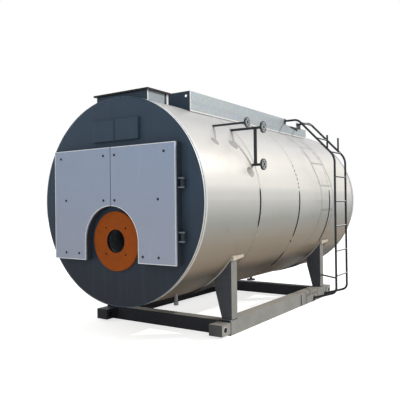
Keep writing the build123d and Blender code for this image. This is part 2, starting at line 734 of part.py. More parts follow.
def saddle_pad(from_front, width):
    """The curved plate that the drum lies in."""
    front = FRONT_Y + from_front
    ring = rod_y(PAD_RADIUS, front, front + width) - rod_y(SEAT_RADIUS, front, front + width)
    reach = 2 * PAD_RADIUS
    end_x = reach * math.cos(math.radians(PAD_END_ANGLE))
    end_z = -reach * math.sin(math.radians(PAD_END_ANGLE))
    wedge = make_face(Polyline(
        (0, 0), (end_x, end_z), (end_x, -2 * reach), (-end_x, -2 * reach), (-end_x, end_z), close=True
    ))
    pad = ring & slab(wedge, front + width, front)
    for index in range(1, SHEET_COUNT):
        pad -= lap_relief(index)
    return pad


def leg(from_front):
    """A right-hand leg: two tapered webs closed by an outer plate."""
    front = FRONT_Y + from_front + LEG_INSET
    back = front + LEG_DEPTH
    foot_inner = RAIL_OUTER_X - LEG_FOOT_WIDTH
    top_inner = RAIL_OUTER_X - LEG_TOP_WIDTH
    taper_top = RAIL_TOP + LEG_TAPER_HEIGHT
    web = make_face(Polyline(
        (RAIL_OUTER_X, RAIL_TOP), (RAIL_OUTER_X, 0), (top_inner, 0),
        (top_inner, taper_top), (foot_inner, RAIL_TOP), close=True
    ))
    shape = slab(web, front + LEG_PLATE, front) + slab(web, back, back - LEG_PLATE)
    shape += block(RAIL_OUTER_X - LEG_PLATE, RAIL_OUTER_X, front, back, RAIL_TOP, 0)
    return shape - clad_core(PAD_RADIUS + FIT)


# Ladder

def stile_corners():
    """Corners of a stile in X and height from the axis, from foot to hook."""
    foot = FLOOR + FOOT_HEIGHT
    bend = FLOOR + FOOT_BEND_HEIGHT
    slope = (bend - foot) / (LADDER_X - RAIL_OUTER_X)
    inside = RAIL_OUTER_X - RAIL_WALL
    hook = WALK_TOP - HOOK_DROP
    return [
        (inside, foot - slope * RAIL_WALL),
        (LADDER_X, bend),
        (LADDER_X, KNEE_HEIGHT),
        (WALK_HALF_WIDTH + HOOK_RUN, hook),
        (WALK_HALF_WIDTH, hook),
    ]


def stile_tube(y, radius):
    """A bent stile tube from the rail up over the edge of the walkway."""
    points = [(x, y, AXIS_HEIGHT + z) for x, z in stile_corners()]
    path = FilletPolyline(*points, radius=[FOOT_BEND_RADIUS, KNEE_RADIUS, HOOK_RADIUS])
    section = Plane(origin=path @ 0, z_dir=path % 0) * Circle(radius)
    return sweep(section, path=path)


def incline_point(share):
    """A point on the sloping run, as X and height from the axis."""
    _, _, knee, hook, _ = stile_corners()
    return knee[0] + share * (hook[0] - knee[0]), knee[1] + share * (hook[1] - knee[1])


def ladder_stiles():
    """Both stiles, each with its foot pad and the short post on its slope."""
    _, _, knee, hook, _ = stile_corners()
    post_x, post_foot = incline_point(POST_SETBACK / (knee[0] - hook[0]))
    stiles = []
    for y in (FIRST_STILE_Y, SECOND_STILE_Y):
        in_rail = block(0, RAIL_OUTER_X, y - RAIL_WIDTH, y + RAIL_WIDTH, FLOOR - RAIL_HEIGHT, RAIL_TOP)
        stile = stile_tube(y, STILE_RADIUS) - in_rail
        stile += rod_x(FOOT_PAD_RADIUS, RAIL_OUTER_X, RAIL_OUTER_X + FOOT_PAD_THICK, y, FLOOR + FOOT_HEIGHT)
        stile += rod_z(POST_RADIUS, post_foot, post_foot + POST_LENGTH, post_x, y)
        stiles.append(stile)
    return stiles


def ladder_rungs():
    """Round rungs between the stiles, upright run first, then the slope."""
    places = [(LADDER_X, FLOOR + FIRST_RUNG + i * RUNG_PITCH) for i in range(RUNG_COUNT)]
    places += [incline_point(share) for share in INCLINE_RUNG_SHARES]
    first = stile_tube(FIRST_STILE_Y, STILE_RADIUS + FIT)
    second = stile_tube(SECOND_STILE_Y, STILE_RADIUS + FIT)
    rungs = [rod_y(RUNG_RADIUS, FIRST_STILE_Y, SECOND_STILE_Y, x, z) for x, z in places]
    return [rung - first - second for rung in rungs]


def ladder_brace():
    """The bar from the rear leg to the first stile."""
    leg_y = FRONT_Y + REAR_SADDLE + LEG_INSET + LEG_DEPTH / 2
    start = Vector(RAIL_OUTER_X - LEG_PLATE, leg_y, AXIS_HEIGHT + BRACE_HEIGHT)
    end = Vector(LADDER_X, FIRST_STILE_Y, AXIS_HEIGHT + BRACE_HEIGHT + BRACE_CLIMB)
    run = end - start
    bar = Plane(origin=start + run / 2, z_dir=run) * Cylinder(RUNG_RADIUS, run.length)
    bar -= block(0, RAIL_OUTER_X, leg_y - RAIL_WIDTH, leg_y + RAIL_WIDTH, RAIL_TOP, 0)
    return bar - stile_tube(FIRST_STILE_Y, STILE_RADIUS + FIT)


# Fittings under the drum

def drain_fittings():
    """The smokebox drain with its collar, and the flanged blowdown neck."""
    y = FRONT_Y + DRAIN_FROM_FRONT
    root = -math.sqrt(CLAD_RADIUS ** 2 - DRAIN_X ** 2)
    end = root - DRAIN_LENGTH
    drain = rod_z(DRAIN_RADIUS, end, 0, DRAIN_X, y)
    drain += rod_z(DRAIN_COLLAR_RADIUS, end, end + DRAIN_COLLAR_LENGTH, DRAIN_X, y)
    y = REAR_Y - BLOWDOWN_FROM_REAR
    end = -CLAD_RADIUS - BLOWDOWN_LENGTH
    neck = rod_z(BLOWDOWN_RADIUS, end, 0, 0, y)
    neck += rod_z(BLOWDOWN_FLANGE_RADIUS, end, end + BLOWDOWN_FLANGE_THICK, 0, y)
    core = clad_core(SEAT_RADIUS)
    return [drain - core, neck - core]


def pieces():
    """Every node's name with its solid or solids."""
    door = right_door()
    cover = right_door_cover()
    side_rail = rail()
    nodes = {
        "drum": drum(),
        "smokebox_shell": smokebox_shell(),
        "tube_plate": tube_plate(),
        "front_plate": front_plate(),
        "rear_plate": rear_plate(),
        "rear_cover": rear_cover(),
        "end_rims": end_rims(),
        "burner_flange": burner_flange(),
        "burner_tunnel": burner_tunnel(),
        "right_door": door,
        "left_door": mirrored(door),
        "right_door_cover": cover,
        "left_door_cover": mirrored(cover),
        "hinge_brackets": hinge_brackets(),
        "upper_covers": upper_covers(),
        "flue_outlet": flue_outlet(),
        "flue_flange": flue_flange(),
        "walkway_right": walkway_side(gate=True),
        "walkway_left": walkway_side(gate=False),
        "walkway_front": walkway_front(),
        "walkway_rear": walkway_end(WALK_END_Y - WALK_PLATE, GATE_SILL),
        "walkway_deck": walkway_deck(),
        "steam_neck": steam_neck(),
        "safety_necks": [safety_neck(MIDDLE_Y + place) for place in SAFETY_FROM_MIDDLE],
        "gauge_pipe": gauge_pipe(),
        "water_column": water_column(),
        "right_rail": side_rail,
        "left_rail": mirrored(side_rail),
        "front_cross_beam": cross_beam(FRONT_SADDLE),
        "rear_cross_beam": cross_beam(REAR_SADDLE),
        "end_stubs": end_stubs(),
        "ladder_stiles": ladder_stiles(),
        "ladder_rungs": ladder_rungs(),
        "ladder_brace": ladder_brace(),
        "drain_fittings": drain_fittings(),
    }
    for index in range(SHEET_COUNT):
        nodes[f"cladding_sheet_{index + 1}"] = cladding_sheet(index)
    for name, from_front, width in zip(("front", "rear"), SADDLES_FROM_FRONT, PAD_WIDTHS):
        side_leg = leg(from_front)
        nodes[f"{name}_saddle_pad"] = saddle_pad(from_front, width)
        nodes[f"{name}_right_leg"] = side_leg
        nodes[f"{name}_left_leg"] = mirrored(side_leg)
    return nodes


os.makedirs("parts", exist_ok=True)
for node, shape in pieces().items():
    if isinstance(shape, list):
        shape = Compound(children=[Part(solid.wrapped) for piece in shape for solid in piece.solids()])
    export_step(shape, f"parts/{node}.step")
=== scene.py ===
import json
import math

import bmesh
import bpy
from mathutils import Matrix, Vector


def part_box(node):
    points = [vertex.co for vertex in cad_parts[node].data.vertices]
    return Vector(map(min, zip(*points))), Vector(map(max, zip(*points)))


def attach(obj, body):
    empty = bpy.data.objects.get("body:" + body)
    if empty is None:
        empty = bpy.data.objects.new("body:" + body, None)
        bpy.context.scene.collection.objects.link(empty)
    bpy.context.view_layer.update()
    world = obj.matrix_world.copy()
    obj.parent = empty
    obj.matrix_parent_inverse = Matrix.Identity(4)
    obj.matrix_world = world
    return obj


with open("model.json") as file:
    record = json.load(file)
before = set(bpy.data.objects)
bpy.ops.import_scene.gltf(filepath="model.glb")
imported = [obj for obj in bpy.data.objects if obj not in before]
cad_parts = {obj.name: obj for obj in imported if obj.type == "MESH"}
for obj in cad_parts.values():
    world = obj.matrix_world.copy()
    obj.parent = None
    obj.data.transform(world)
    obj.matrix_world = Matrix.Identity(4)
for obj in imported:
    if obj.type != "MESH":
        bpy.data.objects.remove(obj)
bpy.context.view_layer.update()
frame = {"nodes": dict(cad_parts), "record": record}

# Looks of a horizontal fire-tube boiler on a skid, in metres.
# X runs to the right seen from the burner end, Y to the back and Z up.

# Camera, solved from the photograph
CAMERA_PLACE = (3.4518, -4.4573, 1.2986)
CAMERA_YAW = 34.058  # degrees to the left of +Y
CAMERA_PITCH = 0.374
CAMERA_ROLL = -0.702
FOCAL_PIXELS = 522.9
IMAGE_PIXELS = 400
SENSOR = 36.0

# Light
SKY_LEVEL = 0.56  # what the white surroundings give to matt surfaces
SUN_LEVEL = 0.535  # what the sun gives to a face turned to it
SUN_FROM = (0.636, 0.586, 0.502)  # found from the shadows of the flanges and rungs
SUN_ANGLE = 0.6  # degrees across
FILL_LEVEL = 0.09  # what the lamp behind the camera gives
FILL_PLACE = (6.0, -9.0, 4.5)
FILL_TARGET = (0.0, -0.5, 1.2)
FILL_SIZE = 6.0
FLOOR_SIZE = 80.0
FLOOR_COLOUR = (0.80, 0.80, 0.80)
FLOOR_GLOW = 0.70  # keeps the lit floor white and its shadow pale

# Cladding seams and the gaps under their laps
LAP_RISE = 0.0033
LAP_RAMP = 0.008
SLIT_RISE = 0.0012
SLIT_WIDTH = 0.017
SLIT_PAST = 0.004  # past the start of the sheet under the lap
SLIT_POINT = 0.3  # where its pointed ends lie across its width
SLIT_TAPER = 6.0  # how quickly it widens from its ends
SLIT_END_SHARE = 0.25  # its width at the very ends
SLITS = (  # seam, then degrees above the axis where a gap starts and ends
    (0, 7.0, -16.0),
    (1, 6.0, -25.5),
    (1, -28.0, -29.5),
    (1, -37.5, -52.0),
    (2, 7.5, -33.0),
)
STITCH_SEAM = 1
STITCH_ANGLES = (24.0, 20.5, 17.5, 14.5, 11.5, 9.0)
STITCH_SPAN = 0.9  # degrees
STITCH_WIDTH = 0.7 * SLIT_WIDTH
RIVET_PITCH = 6.0  # degrees
RIVET_RADIUS = 0.005
RIVET_SINK = 0.0002
RIVETS_LEFT_OUT = (62.0, 118.0)  # degrees, under the walkway
RIM_LINE_START = 0.019  # from the end of the rim to the grey line on it, a painted shade in the rim's rolled bead
RIM_LINE_WIDTH = 0.010
RIM_LINE_SINK = 0.002
RIM_LINE_RISE = 0.0006

# Smokebox doors
ARCH_RADIUS = 0.335
ARCH_STEPS = 40
# The door trim is a pale strip along each cover's folded edge: a painted highlight.
TRIM_INSET = 0.0005
TRIM_WIDTH = 0.007
TRIM_RISE = 0.002
DOOR_BOLTS = (  # across from the middle, and up from the axis
    (0.071, 0.436),
    (0.658, 0.436),
    (0.071, 0.012),
    (0.588, 0.016),
    (0.408, -0.501),
    (0.590, -0.501),
)
DOOR_BOLT_RADIUS = 0.0092
DOOR_BOLT_SHIFT = -0.018  # the bolts sit a little to the left on both doors
LINING_INSET = 0.090
LINING_THICK = 0.030
LINING_CHAMFER = 0.012
ROPE_INSET = 0.030  # to the middle of the rope
ROPE_WIDTH = 0.020
ROPE_RISE = 0.0035

# Tube ends in the smokebox
TUBE_PITCH = 0.160
TUBE_BORE = 0.040
TUBE_FIELD = 0.8317  # radius that holds the outermost tubes
TUBE_FIELD_BOTTOM = -0.420  # from the axis
TUBE_KEEP_OUT = 0.415  # from the burner's centre
TUBE_BEAD = 0.006
TUBE_BEAD_ANGLES = (0.0, 1.1, 2.1, math.pi)

# Strips on the flue outlet, from its front face, with the width of each
FLUE_STRIPS = (
    ("pale", 0.000, 0.014),
    ("dark", 0.263, 0.026),
    ("pale", 0.293, 0.028),
)
FLUE_STRIP_LIFT = 0.001  # above the cladding
FLUE_STRIP_CHAMFER = 0.0005
STRIP_RISE = 0.002

# Walkway
FLASHING_HEIGHT = 0.015
FLASHING_CHAMFER = 0.0006
CORNER_STRIP = 0.016
STUD_PITCH = 0.060
STUD_LENGTH = 0.030
STUD_WIDTH = 0.009
STUD_RISE = 0.002
NECK_ROOM = 0.130  # round each neck, without studs

# Ladder ends on the walkway
STILE_PLACES = (2.075, 2.485)  # along Y
HOOK_PLATES = (  # start and end along Y, and the top's drop below the board's edge
    (2.058, 2.092, 0.0),
    (2.490, 2.590, 0.014),
)
HOOK_PLATE_HEIGHT = 0.075
HOOK_PLATE_THICK = 0.006
SILL_BAR = (2.238, 2.480)  # start and end along Y
SILL_BAR_HEIGHTS = (0.010, 0.042)  # at its start and end
SILL_BAR_THICK = 0.008
SILL_Z = 2.3500  # underside of the ladder opening's edge strip

# Gauge flanges
GAUGE_FLANGES = (  # mount, node and radius
    ("gauge_bore", "gauge_pipe", 0.0475),
    ("column_top_bore", "water_column", 0.0575),
    ("column_bottom_bore", "water_column", 0.0575),
)
FACE_SHARE = 0.84  # raised face over flange radius
FACE_RISE = 0.002
FACE_BEVEL = 0.0008
GASKET_RADIUS = 0.0145
GASKET_RISE = 0.0016
GAUGE_BOLT_COUNT = 4
GAUGE_BOLT_CIRCLE = 0.62  # over flange radius
GAUGE_BOLT_SHARE = 0.095  # bolt over flange radius

# Skid
LEGS = ("front_right_leg", "rear_right_leg", "front_left_leg", "rear_left_leg")
LEG_FOOT_WIDTH = 0.112
HAUL_RING_WIDTH = 0.008
HAUL_RING_RISE = 0.002
HAUL_RIM_WIDTH = 0.005
HAUL_RIM_RISE = 0.0015
FOOT_PLATE = (0.056, 0.046)  # length and height where the ladder's feet meet the rail
FOOT_PLATE_THICK = 0.012
FOOT_PLATE_PAST = 0.012  # past the middle of the stile
FOOT_PLATE_LIFT = 0.004
FOOT_PLATE_CHAMFER = 0.002
DOUBLER_ENDS = (1.655, 2.035)  # along Y
DOUBLER_WELD = 0.007  # radius of its bead
DOUBLER_WELD_INSET = 0.010  # from the rail's top and bottom
STUB_WELD_LENGTH = 0.130
SKID_WELD = 0.005  # radius of the other beads

# Saddle ends
PAD_END_ANGLE = -33.0  # degrees
PAD_END_DROPS = (0.042, 0.018)  # at the front and rear end of each bar
PAD_END_OUT = 0.010
PAD_END_SINK = 0.004
PAD_END_RISE = 0.003
PAD_END_GAP = 0.001
PAD_END_SHORT = 0.030  # how much the bar is shorter than the pad

# Rear cover
REAR_COVER_THICK = 0.016
REAR_BOLT_COUNT = 16
REAR_BOLT_CIRCLE = 0.250
REAR_BOLT_RADIUS = 0.012

# Thin trim, small fasteners and weld beads
SINK = 0.0005  # of trim into the face that carries it
RING_SINK = 0.001
RING_BEVEL = 0.001
HEAD_HEIGHT = 0.64  # in head radii, as are the next two
WASHER_RADIUS = 1.35
WASHER_HEIGHT = 0.18
HEAD_PROFILE = ((1.0, 0.0), (1.0, 0.85), (0.86, 1.0))  # shares of the radius and the height
WASHER_PROFILE = ((1.0, 0.0), (1.0, 0.7), (0.94, 1.0))
RIVET_DOME = ((1.0, 0.0), (0.86, 0.3), (0.4, 0.5))  # radius and height in rivet radii
BEAD_PITCH = 0.006
BEAD_WAIST = 0.78  # radius between the ripples
BEAD_SIDES = 6
CREASE = 35.0  # degrees above which an edge stays sharp
SHARP_CREASE = 20.0

# Colours, linear
SLATE = (0.043, 0.070, 0.105)
SLATE_FOOT = (0.028, 0.034, 0.045)
SLATE_DARK = (0.034, 0.041, 0.047)
# Painted shade: a darker slate for parts and sides that lie in shade.
SLATE_SHADE = (0.048, 0.050, 0.059)
SLATE_LEG = (0.072, 0.079, 0.091)
# Painted shade: the hinge brackets are darker than the plate, like the shade beside the doors.
SLATE_HINGE_SHADE = (0.032, 0.041, 0.053)
SLATE_STUB = (0.108, 0.107, 0.112)
SLATE_DUST = (0.40, 0.38, 0.335)
SLATE_SPREAD = (0.76, 1.24)  # darkest and lightest shade of the slate paints
RUST_CHIP = (0.11, 0.065, 0.04)
RUNG_PALE_LIT = (0.70, 0.71, 0.70)
# The door bodies' near-black is partly painted shade beside the doors.
DOOR_PAINT_AND_SHADE = ((0.026, 0.033, 0.042), (0.040, 0.049, 0.060))
LUG_STEEL = ((0.145, 0.17, 0.20), (0.215, 0.25, 0.285))
COVER_HIGH = (0.345, 0.43, 0.575)
COVER_LOW = (0.39, 0.43, 0.54)
COVER_RUN = (0.60, 0.60, 0.60)
COVER_SPECK = (0.16, 0.16, 0.17)
# Painted highlight along the door covers' folded edges.
PALE_EDGE_HIGHLIGHT = (0.88, 0.91, 0.95)
ORANGE = (0.36, 0.081, 0.010)
ORANGE_GRIME = (0.10, 0.035, 0.014)
ORANGE_RUBBED = (0.55, 0.24, 0.09)
GALVANISED = (0.385, 0.42, 0.435)
FLUE_GREY = (0.26, 0.295, 0.31)
FLASHING_PALE = (0.82, 0.81, 0.78)
PAINT_BLACK = (0.012, 0.012, 0.013)
GAP_DARK = (0.012, 0.011, 0.010)
DRAIN_GREY = (0.19, 0.187, 0.19)
# Painted shade in the end rims' rolled bead.
RIM_SHADE_GREY = (0.20, 0.21, 0.215)
RIVET_GREY = (0.50, 0.49, 0.47)
BOLT_DARK = (0.030, 0.032, 0.036)
MACHINED = (0.30, 0.31, 0.31)
PAD_CREAM = (0.625, 0.55, 0.4375)
# Painted highlight on the saddle pads' upper edges.
PAD_EDGE_LIGHT = (0.56, 0.535, 0.50)
PAD_BROWN = (0.17, 0.145, 0.115)
SOOT = (0.046, 0.041, 0.038)
RUSTED = (0.17, 0.125, 0.095)
RUSTED_WELD = (0.289, 0.2125, 0.1615)
FIRECLAY = (0.44, 0.37, 0.28)
BURNT_CLAY = (0.060, 0.064, 0.070)
ROPE_PALE = (0.52, 0.49, 0.42)
SHEET_GRAIN = (0.62, 0.59, 0.54)
SHEET_STAIN = (0.20, 0.15, 0.10)
STAINLESS_REFLECTION_BANDS = (  # height over the axis in radii, the tone there and the mirror's share; the tones are a painted reflection, pale sky above the axis and the brown ground with its shadow below it
    (-1.00, (0.21, 0.145, 0.085), 0.02),
    (-0.85, (0.155, 0.115, 0.073), 0.02),
    (-0.73, (0.09, 0.076, 0.057), 0.02),
    (-0.63, (0.285, 0.22, 0.15), 0.08),
    (-0.42, (0.325, 0.273, 0.205), 0.18),
    (-0.21, (0.36, 0.362, 0.335), 0.32),
    (-0.11, (0.47, 0.47, 0.445), 0.42),
    (0.01, (0.578, 0.572, 0.542), 0.45),
    (0.085, (0.61, 0.605, 0.57), 0.45),
    (0.15, (0.725, 0.705, 0.66), 0.45),
    (0.25, (0.69, 0.667, 0.62), 0.45),
    (0.37, (0.635, 0.61, 0.565), 0.45),
    (0.47, (0.665, 0.64, 0.60), 0.43),
    (0.62, (0.685, 0.675, 0.655), 0.38),
    (0.78, (0.575, 0.57, 0.56), 0.22),
    (1.00, (0.64, 0.635, 0.625), 0.12),
)
# The rim's tones by height are a painted reflection as well.
RIM_REFLECTION_BANDS = (
    (-1.00, (0.60, 0.57, 0.55), 0.05),
    (-0.75, (0.68, 0.62, 0.57), 0.08),
    (-0.50, (0.68, 0.63, 0.56), 0.12),
    (-0.30, (0.65, 0.63, 0.59), 0.20),
    (0.00, (0.70, 0.71, 0.69), 0.30),
    (0.30, (0.67, 0.68, 0.665), 0.30),
    (0.55, (0.80, 0.82, 0.82), 0.30),
    (1.00, (0.86, 0.90, 0.92), 0.15),
)
SHEET_TONES = (0.975, 1.0, 1.02, 1.0)  # one for each cladding sheet
SHEET_COUNT = len(SHEET_TONES)
ZINC_SHINE = 0.5  # how metallic the galvanised sheet is

# Where the finishes change
FOOT_TONE_TOP = 0.3  # above the axis, where an end plate has its full tone
OUTER_FACE = (0.45, 0.70)  # from the middle plane, where the skid's outer faces are lightened, partly bleaching and partly painted light
LEFT_BLEND = 0.1  # to both sides of the middle plane, where the painted shade of the left side blends in
LUG_START = (0.001, 0.003)  # past the door covers, where the hinge lugs turn to lighter steel
PAD_PALE_FROM = (0.42, 0.52)  # heights between which the saddle pads go from painted shade below to brown grime and pale painted highlight above
BAND_WANDER = 0.035  # how far the painted reflection bands of the sheets wander, in radii
STAIN_FADE = (-0.5, 0.25)  # height over the axis in radii where the stains fade
LAP_DULL = (0.7, 1.2)  # from a lap's middle, in lap ramps, where the mirror comes back
BORE_SOOT = (0.0005, 0.003)  # past the burner's bore, where its soot and painted shade end
HOLE_ZONE = (-0.03, -0.02)  # from the flange's edge, where its bolt holes end
HOLE_DEPTH = (0.0005, 0.0020)  # behind the flange's face, where the holes turn dark with painted shade
FACING = (0.5, 0.8)  # part of the normal along an axis, for faces turned along it
DUST_SLOPE = (0.45, 0.95)  # upward part of the normal where dust settles
TREAD_SLOPE = (0.15, 0.45)  # upward part of the normal where rungs go from painted shade underneath to their pale top, trodden and lit
PAD_TOP_SLOPE = (0.3, 0.6)  # upward part of the normal where pads get their pale painted highlight

# Places read from the frame
nodes = frame["nodes"]
MOUNTS = {mount["name"]: mount for mount in frame["record"]["mounts"]}
SHEET_LOW, SHEET_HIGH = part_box(f"cladding_sheet_{SHEET_COUNT}")
AXIS_Z = (SHEET_LOW.z + SHEET_HIGH.z) / 2
CLAD_RADIUS = (SHEET_HIGH.x - SHEET_LOW.x) / 2
DOOR_LOW, DOOR_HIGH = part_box("right_door_cover")
FLANGE_LOW, FLANGE_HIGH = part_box("burner_flange")
BURNER_Z = (FLANGE_LOW.z + FLANGE_HIGH.z) / 2
BURNER_BORE = MOUNTS["burner_port"]["dims"]["r_mm"] / 1000
NECK_PLACES = [MOUNTS[name]["pos_m"][1] for name in ("safety_1_bore", "safety_2_bore", "steam_bore")]


def seam_places():
    """Where each sheet ends, along Y."""
    return [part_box(f"cladding_sheet_{k + 1}")[1].y for k in range(SHEET_COUNT - 1)]


def lap_starts():
    """Where the next sheet starts under each lap."""
    return [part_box(f"cladding_sheet_{k + 2}")[0].y for k in range(SHEET_COUNT - 1)]


# Material helpers

def scaled(colour, factor):
    return tuple(min(1.0, part * factor) for part in colour)


def past(place, distances):
    """Places at two distances past a place."""
    return [place + distance for distance in distances]


class Graph:
    """A node tree and the common steps in it."""

    def __init__(self, owner):
        owner.use_nodes = True
        self.tree = owner.node_tree

    def feed(self, socket, value):
        """Links a socket to another, or sets its value; colours may have three parts."""
        if isinstance(value, bpy.types.NodeSocket):
            self.tree.links.new(value, socket)
        elif socket.type == "RGBA" and len(value) == 3:
            socket.default_value = (*value, 1.0)
        else:
            socket.default_value = value

    def node(self, kind, inputs, output=0, **settings):
        made = self.tree.nodes.new(kind)
        for key, value in settings.items():
            setattr(made, key, value)
        for key, value in inputs.items():
            self.feed(made.inputs[key], value)
        return made.outputs[output]

    def light_path(self):
        return self.tree.nodes.new("ShaderNodeLightPath").outputs

    def math(self, operation, first, second=0.0):
        return self.node("ShaderNodeMath", {0: first, 1: second}, operation=operation)

    def times(self, first, second):
        return self.math("MULTIPLY", first, second)

    def span(self, value, low, high):
        """A value from 0 to 1 turned into one from low to high."""
        return self.node("ShaderNodeMapRange", {"Value": value, "To Min": low, "To Max": high})


class Shader(Graph):
    """A Principled material built from named steps."""

    def __init__(self, name, metallic=0.0, specular=0.25):
        self.material = bpy.data.materials.new(name)
        super().__init__(self.material)
        self.surface = self.tree.nodes["Principled BSDF"]
        self.coords = self.tree.nodes.new("ShaderNodeTexCoord")
        self.set("Metallic", metallic)
        self.set("Specular IOR Level", specular)

    def set(self, name, value):
        self.feed(self.surface.inputs[name], value)

    def axes(self, kind="Object"):
        split = self.tree.nodes.new("ShaderNodeSeparateXYZ")
        self.feed(split.inputs[0], self.coords.outputs[kind])
        return split.outputs

    def step(self, value, low, high):
        """0 below low, 1 above high, smooth between."""
        inputs = {"Value": value, "From Min": low, "From Max": high}
        return self.node("ShaderNodeMapRange", inputs, interpolation_type="SMOOTHSTEP")

    def fall(self, value, low, high):
        """1 below low, 0 above high, smooth between."""
        return self.math("SUBTRACT", 1.0, self.step(value, low, high))

    def patches(self, value, low, high, most):
        """0 below low, most above high, smooth between."""
        return self.times(self.step(value, low, high), most)

    def noise(self, scale, detail, rough, stretch=None):
        vector = self.coords.outputs["Object"]
        if stretch:
            vector = self.node("ShaderNodeMapping", {"Vector": vector, "Scale": stretch})
        inputs = {"Vector": vector, "Scale": scale, "Detail": detail, "Roughness": rough}
        return self.node("ShaderNodeTexNoise", inputs)

    def cells(self, scale):
        inputs = {"Vector": self.coords.outputs["Object"], "Scale": scale}
        return self.node("ShaderNodeTexVoronoi", inputs, output="Color")

    def mix(self, factor, first, second, blend="MIX"):
        inputs = {0: factor, 6: first, 7: second}
        return self.node("ShaderNodeMix", inputs, output=2, data_type="RGBA", blend_type=blend)

    def shades(self, factor, base, dark, light):
        """A colour from a darker to a lighter shade of base."""
        return self.mix(factor, scaled(base, dark), scaled(base, light))

    def ramp(self, factor, stops):
        made = self.tree.nodes.new("ShaderNodeValToRGB")
        self.feed(made.inputs[0], factor)
        elements = made.color_ramp.elements
        for element, (position, colour) in zip(elements, (stops[0], stops[-1])):
            element.position = position
            element.color = (*colour, 1.0)
        for position, colour in stops[1:-1]:
            elements.new(position).color = (*colour, 1.0)
        return made.outputs[0]

    def bump(self, height, strength, distance):
        inputs = {"Height": height, "Strength": strength, "Distance": distance}
        self.set("Normal", self.node("ShaderNodeBump", inputs))

    def fine_bump(self, scale, strength, distance):
        self.bump(self.noise(scale, detail=2.0, rough=0.5), strength, distance)

    def done(self, colour, grain, smoothest, roughest):
        """Sets the colour, and a roughness that follows the grain."""
        self.set("Base Color", colour)
        self.set("Roughness", self.span(grain, smoothest, roughest))
        return self.material


# Materials

def slate_paint(name, base=SLATE, foot=None, left=None, dust=0.5, dust_tone=1.0, weathered=False,
                bleach_and_light=0.86, specular=0.22):
    """Dark blue-grey machine paint with dust on top; weathered, its outer faces are lightened, partly
    bleaching and partly painted light, and scuffed and chipped; given a left colour, the left side turns to
    it as painted shade.
    """
    s = Shader(name, specular=specular)
    mottle = s.noise(5.0, detail=6.0, rough=0.62)
    streaks = s.noise(9.0, detail=3.0, rough=0.6, stretch=(1.6, 1.6, 0.16))
    colour = s.shades(mottle, base, *SLATE_SPREAD)
    if foot:
        low = s.fall(s.axes()["Z"], AXIS_Z - CLAD_RADIUS, AXIS_Z + FOOT_TONE_TOP)
        colour = s.mix(low, colour, foot)
    colour = s.mix(s.patches(streaks, 0.45, 0.75, most=0.14), colour, scaled(base, 1.8))
    normal = s.axes("Normal")
    settled = s.times(s.step(normal["Z"], *DUST_SLOPE), s.step(mottle, 0.05, 0.45))
    colour = s.mix(s.times(settled, dust), colour, scaled(SLATE_DUST, dust_tone))
    if weathered:
        # Outer faces lightened: bleaching and painted light together.
        outward = s.times(s.axes()["X"], normal["X"])
        bleached_and_lit = s.times(s.step(outward, *OUTER_FACE), s.span(mottle, 0.55, 1.15))
        colour = s.mix(s.times(bleached_and_lit, bleach_and_light), colour, SLATE_DUST)
        scuffs = s.noise(34.0, detail=5.0, rough=0.7)
        colour = s.mix(s.patches(scuffs, 0.60, 0.70, most=0.55), colour, scaled(SLATE_DUST, 0.5))
        chips = s.noise(70.0, detail=2.0, rough=0.5)
        colour = s.mix(s.patches(chips, 0.70, 0.74, most=0.8), colour, RUST_CHIP)
    # Painted shade: the left side turns to a darker slate.
    if left:
        shaded_left = s.shades(mottle, left, *SLATE_SPREAD)
        colour = s.mix(s.step(s.axes()["X"], -LEFT_BLEND, LEFT_BLEND), shaded_left, colour)
    s.fine_bump(190.0, strength=0.10, distance=0.0009)
    return s.done(colour, mottle, 0.42, 0.66)


def door_body_paint_and_shade():
    """Near-black paint on the door bodies, partly heat paint and partly painted shade beside the doors;
    lighter steel on the hinge lugs.
    """
    s = Shader("door_body_paint_and_shade", specular=0.15)
    grain = s.noise(14.0, detail=5.0, rough=0.6)
    outside = s.math("ABSOLUTE", s.axes()["X"])
    lugs = s.step(outside, *past(DOOR_HIGH.x, LUG_START))
    colour = s.mix(lugs, s.mix(grain, *DOOR_PAINT_AND_SHADE), s.mix(grain, *LUG_STEEL))
    s.fine_bump(160.0, strength=0.12, distance=0.0008)
    return s.done(colour, grain, 0.5, 0.75)


def rung_paint():
    """Ladder rungs, pale on top with trodden wear and painted highlight, and dark underneath as painted
    shade.
    """
    s = Shader("ladder_rung_paint", specular=0.2)
    grain = s.noise(40.0, detail=4.0, rough=0.6)
    # Painted shade underneath; the pale top is trodden wear and painted highlight.
    dark = s.shades(grain, SLATE_DARK, 0.8, 1.3)
    worn_and_lit_top = s.shades(grain, RUNG_PALE_LIT, 0.85, 1.12)
    colour = s.mix(s.step(s.axes("Normal")["Z"], *TREAD_SLOPE), dark, worn_and_lit_top)
    s.fine_bump(160.0, strength=0.10, distance=0.0006)
    return s.done(colour, grain, 0.40, 0.62)


def pad_paint():
    """Saddle pads: pale edges in the upper part as painted highlight, brown grime elsewhere above, painted
    shade below.
    """
    s = Shader("saddle_pad_paint", specular=0.2)
    grain = s.noise(16.0, detail=5.0, rough=0.62)
    normal = s.axes("Normal")
    edge = s.step(s.math("ABSOLUTE", normal["Y"]), *FACING)
    edge = s.math("MAXIMUM", edge, s.step(normal["Z"], *PAD_TOP_SLOPE))
    upper = s.step(s.axes()["Z"], *PAD_PALE_FROM)
    # Painted shade below, brown grime above.
    grime = s.mix(upper, scaled(SLATE_SHADE, 0.5), PAD_BROWN)
    # Pale edges in the upper part: painted highlight.
    colour = s.mix(s.times(edge, upper), grime, s.shades(grain, PAD_EDGE_LIGHT, 0.85, 1.15))
    s.fine_bump(140.0, strength=0.12, distance=0.0010)
    return s.done(colour, grain, 0.5, 0.75)


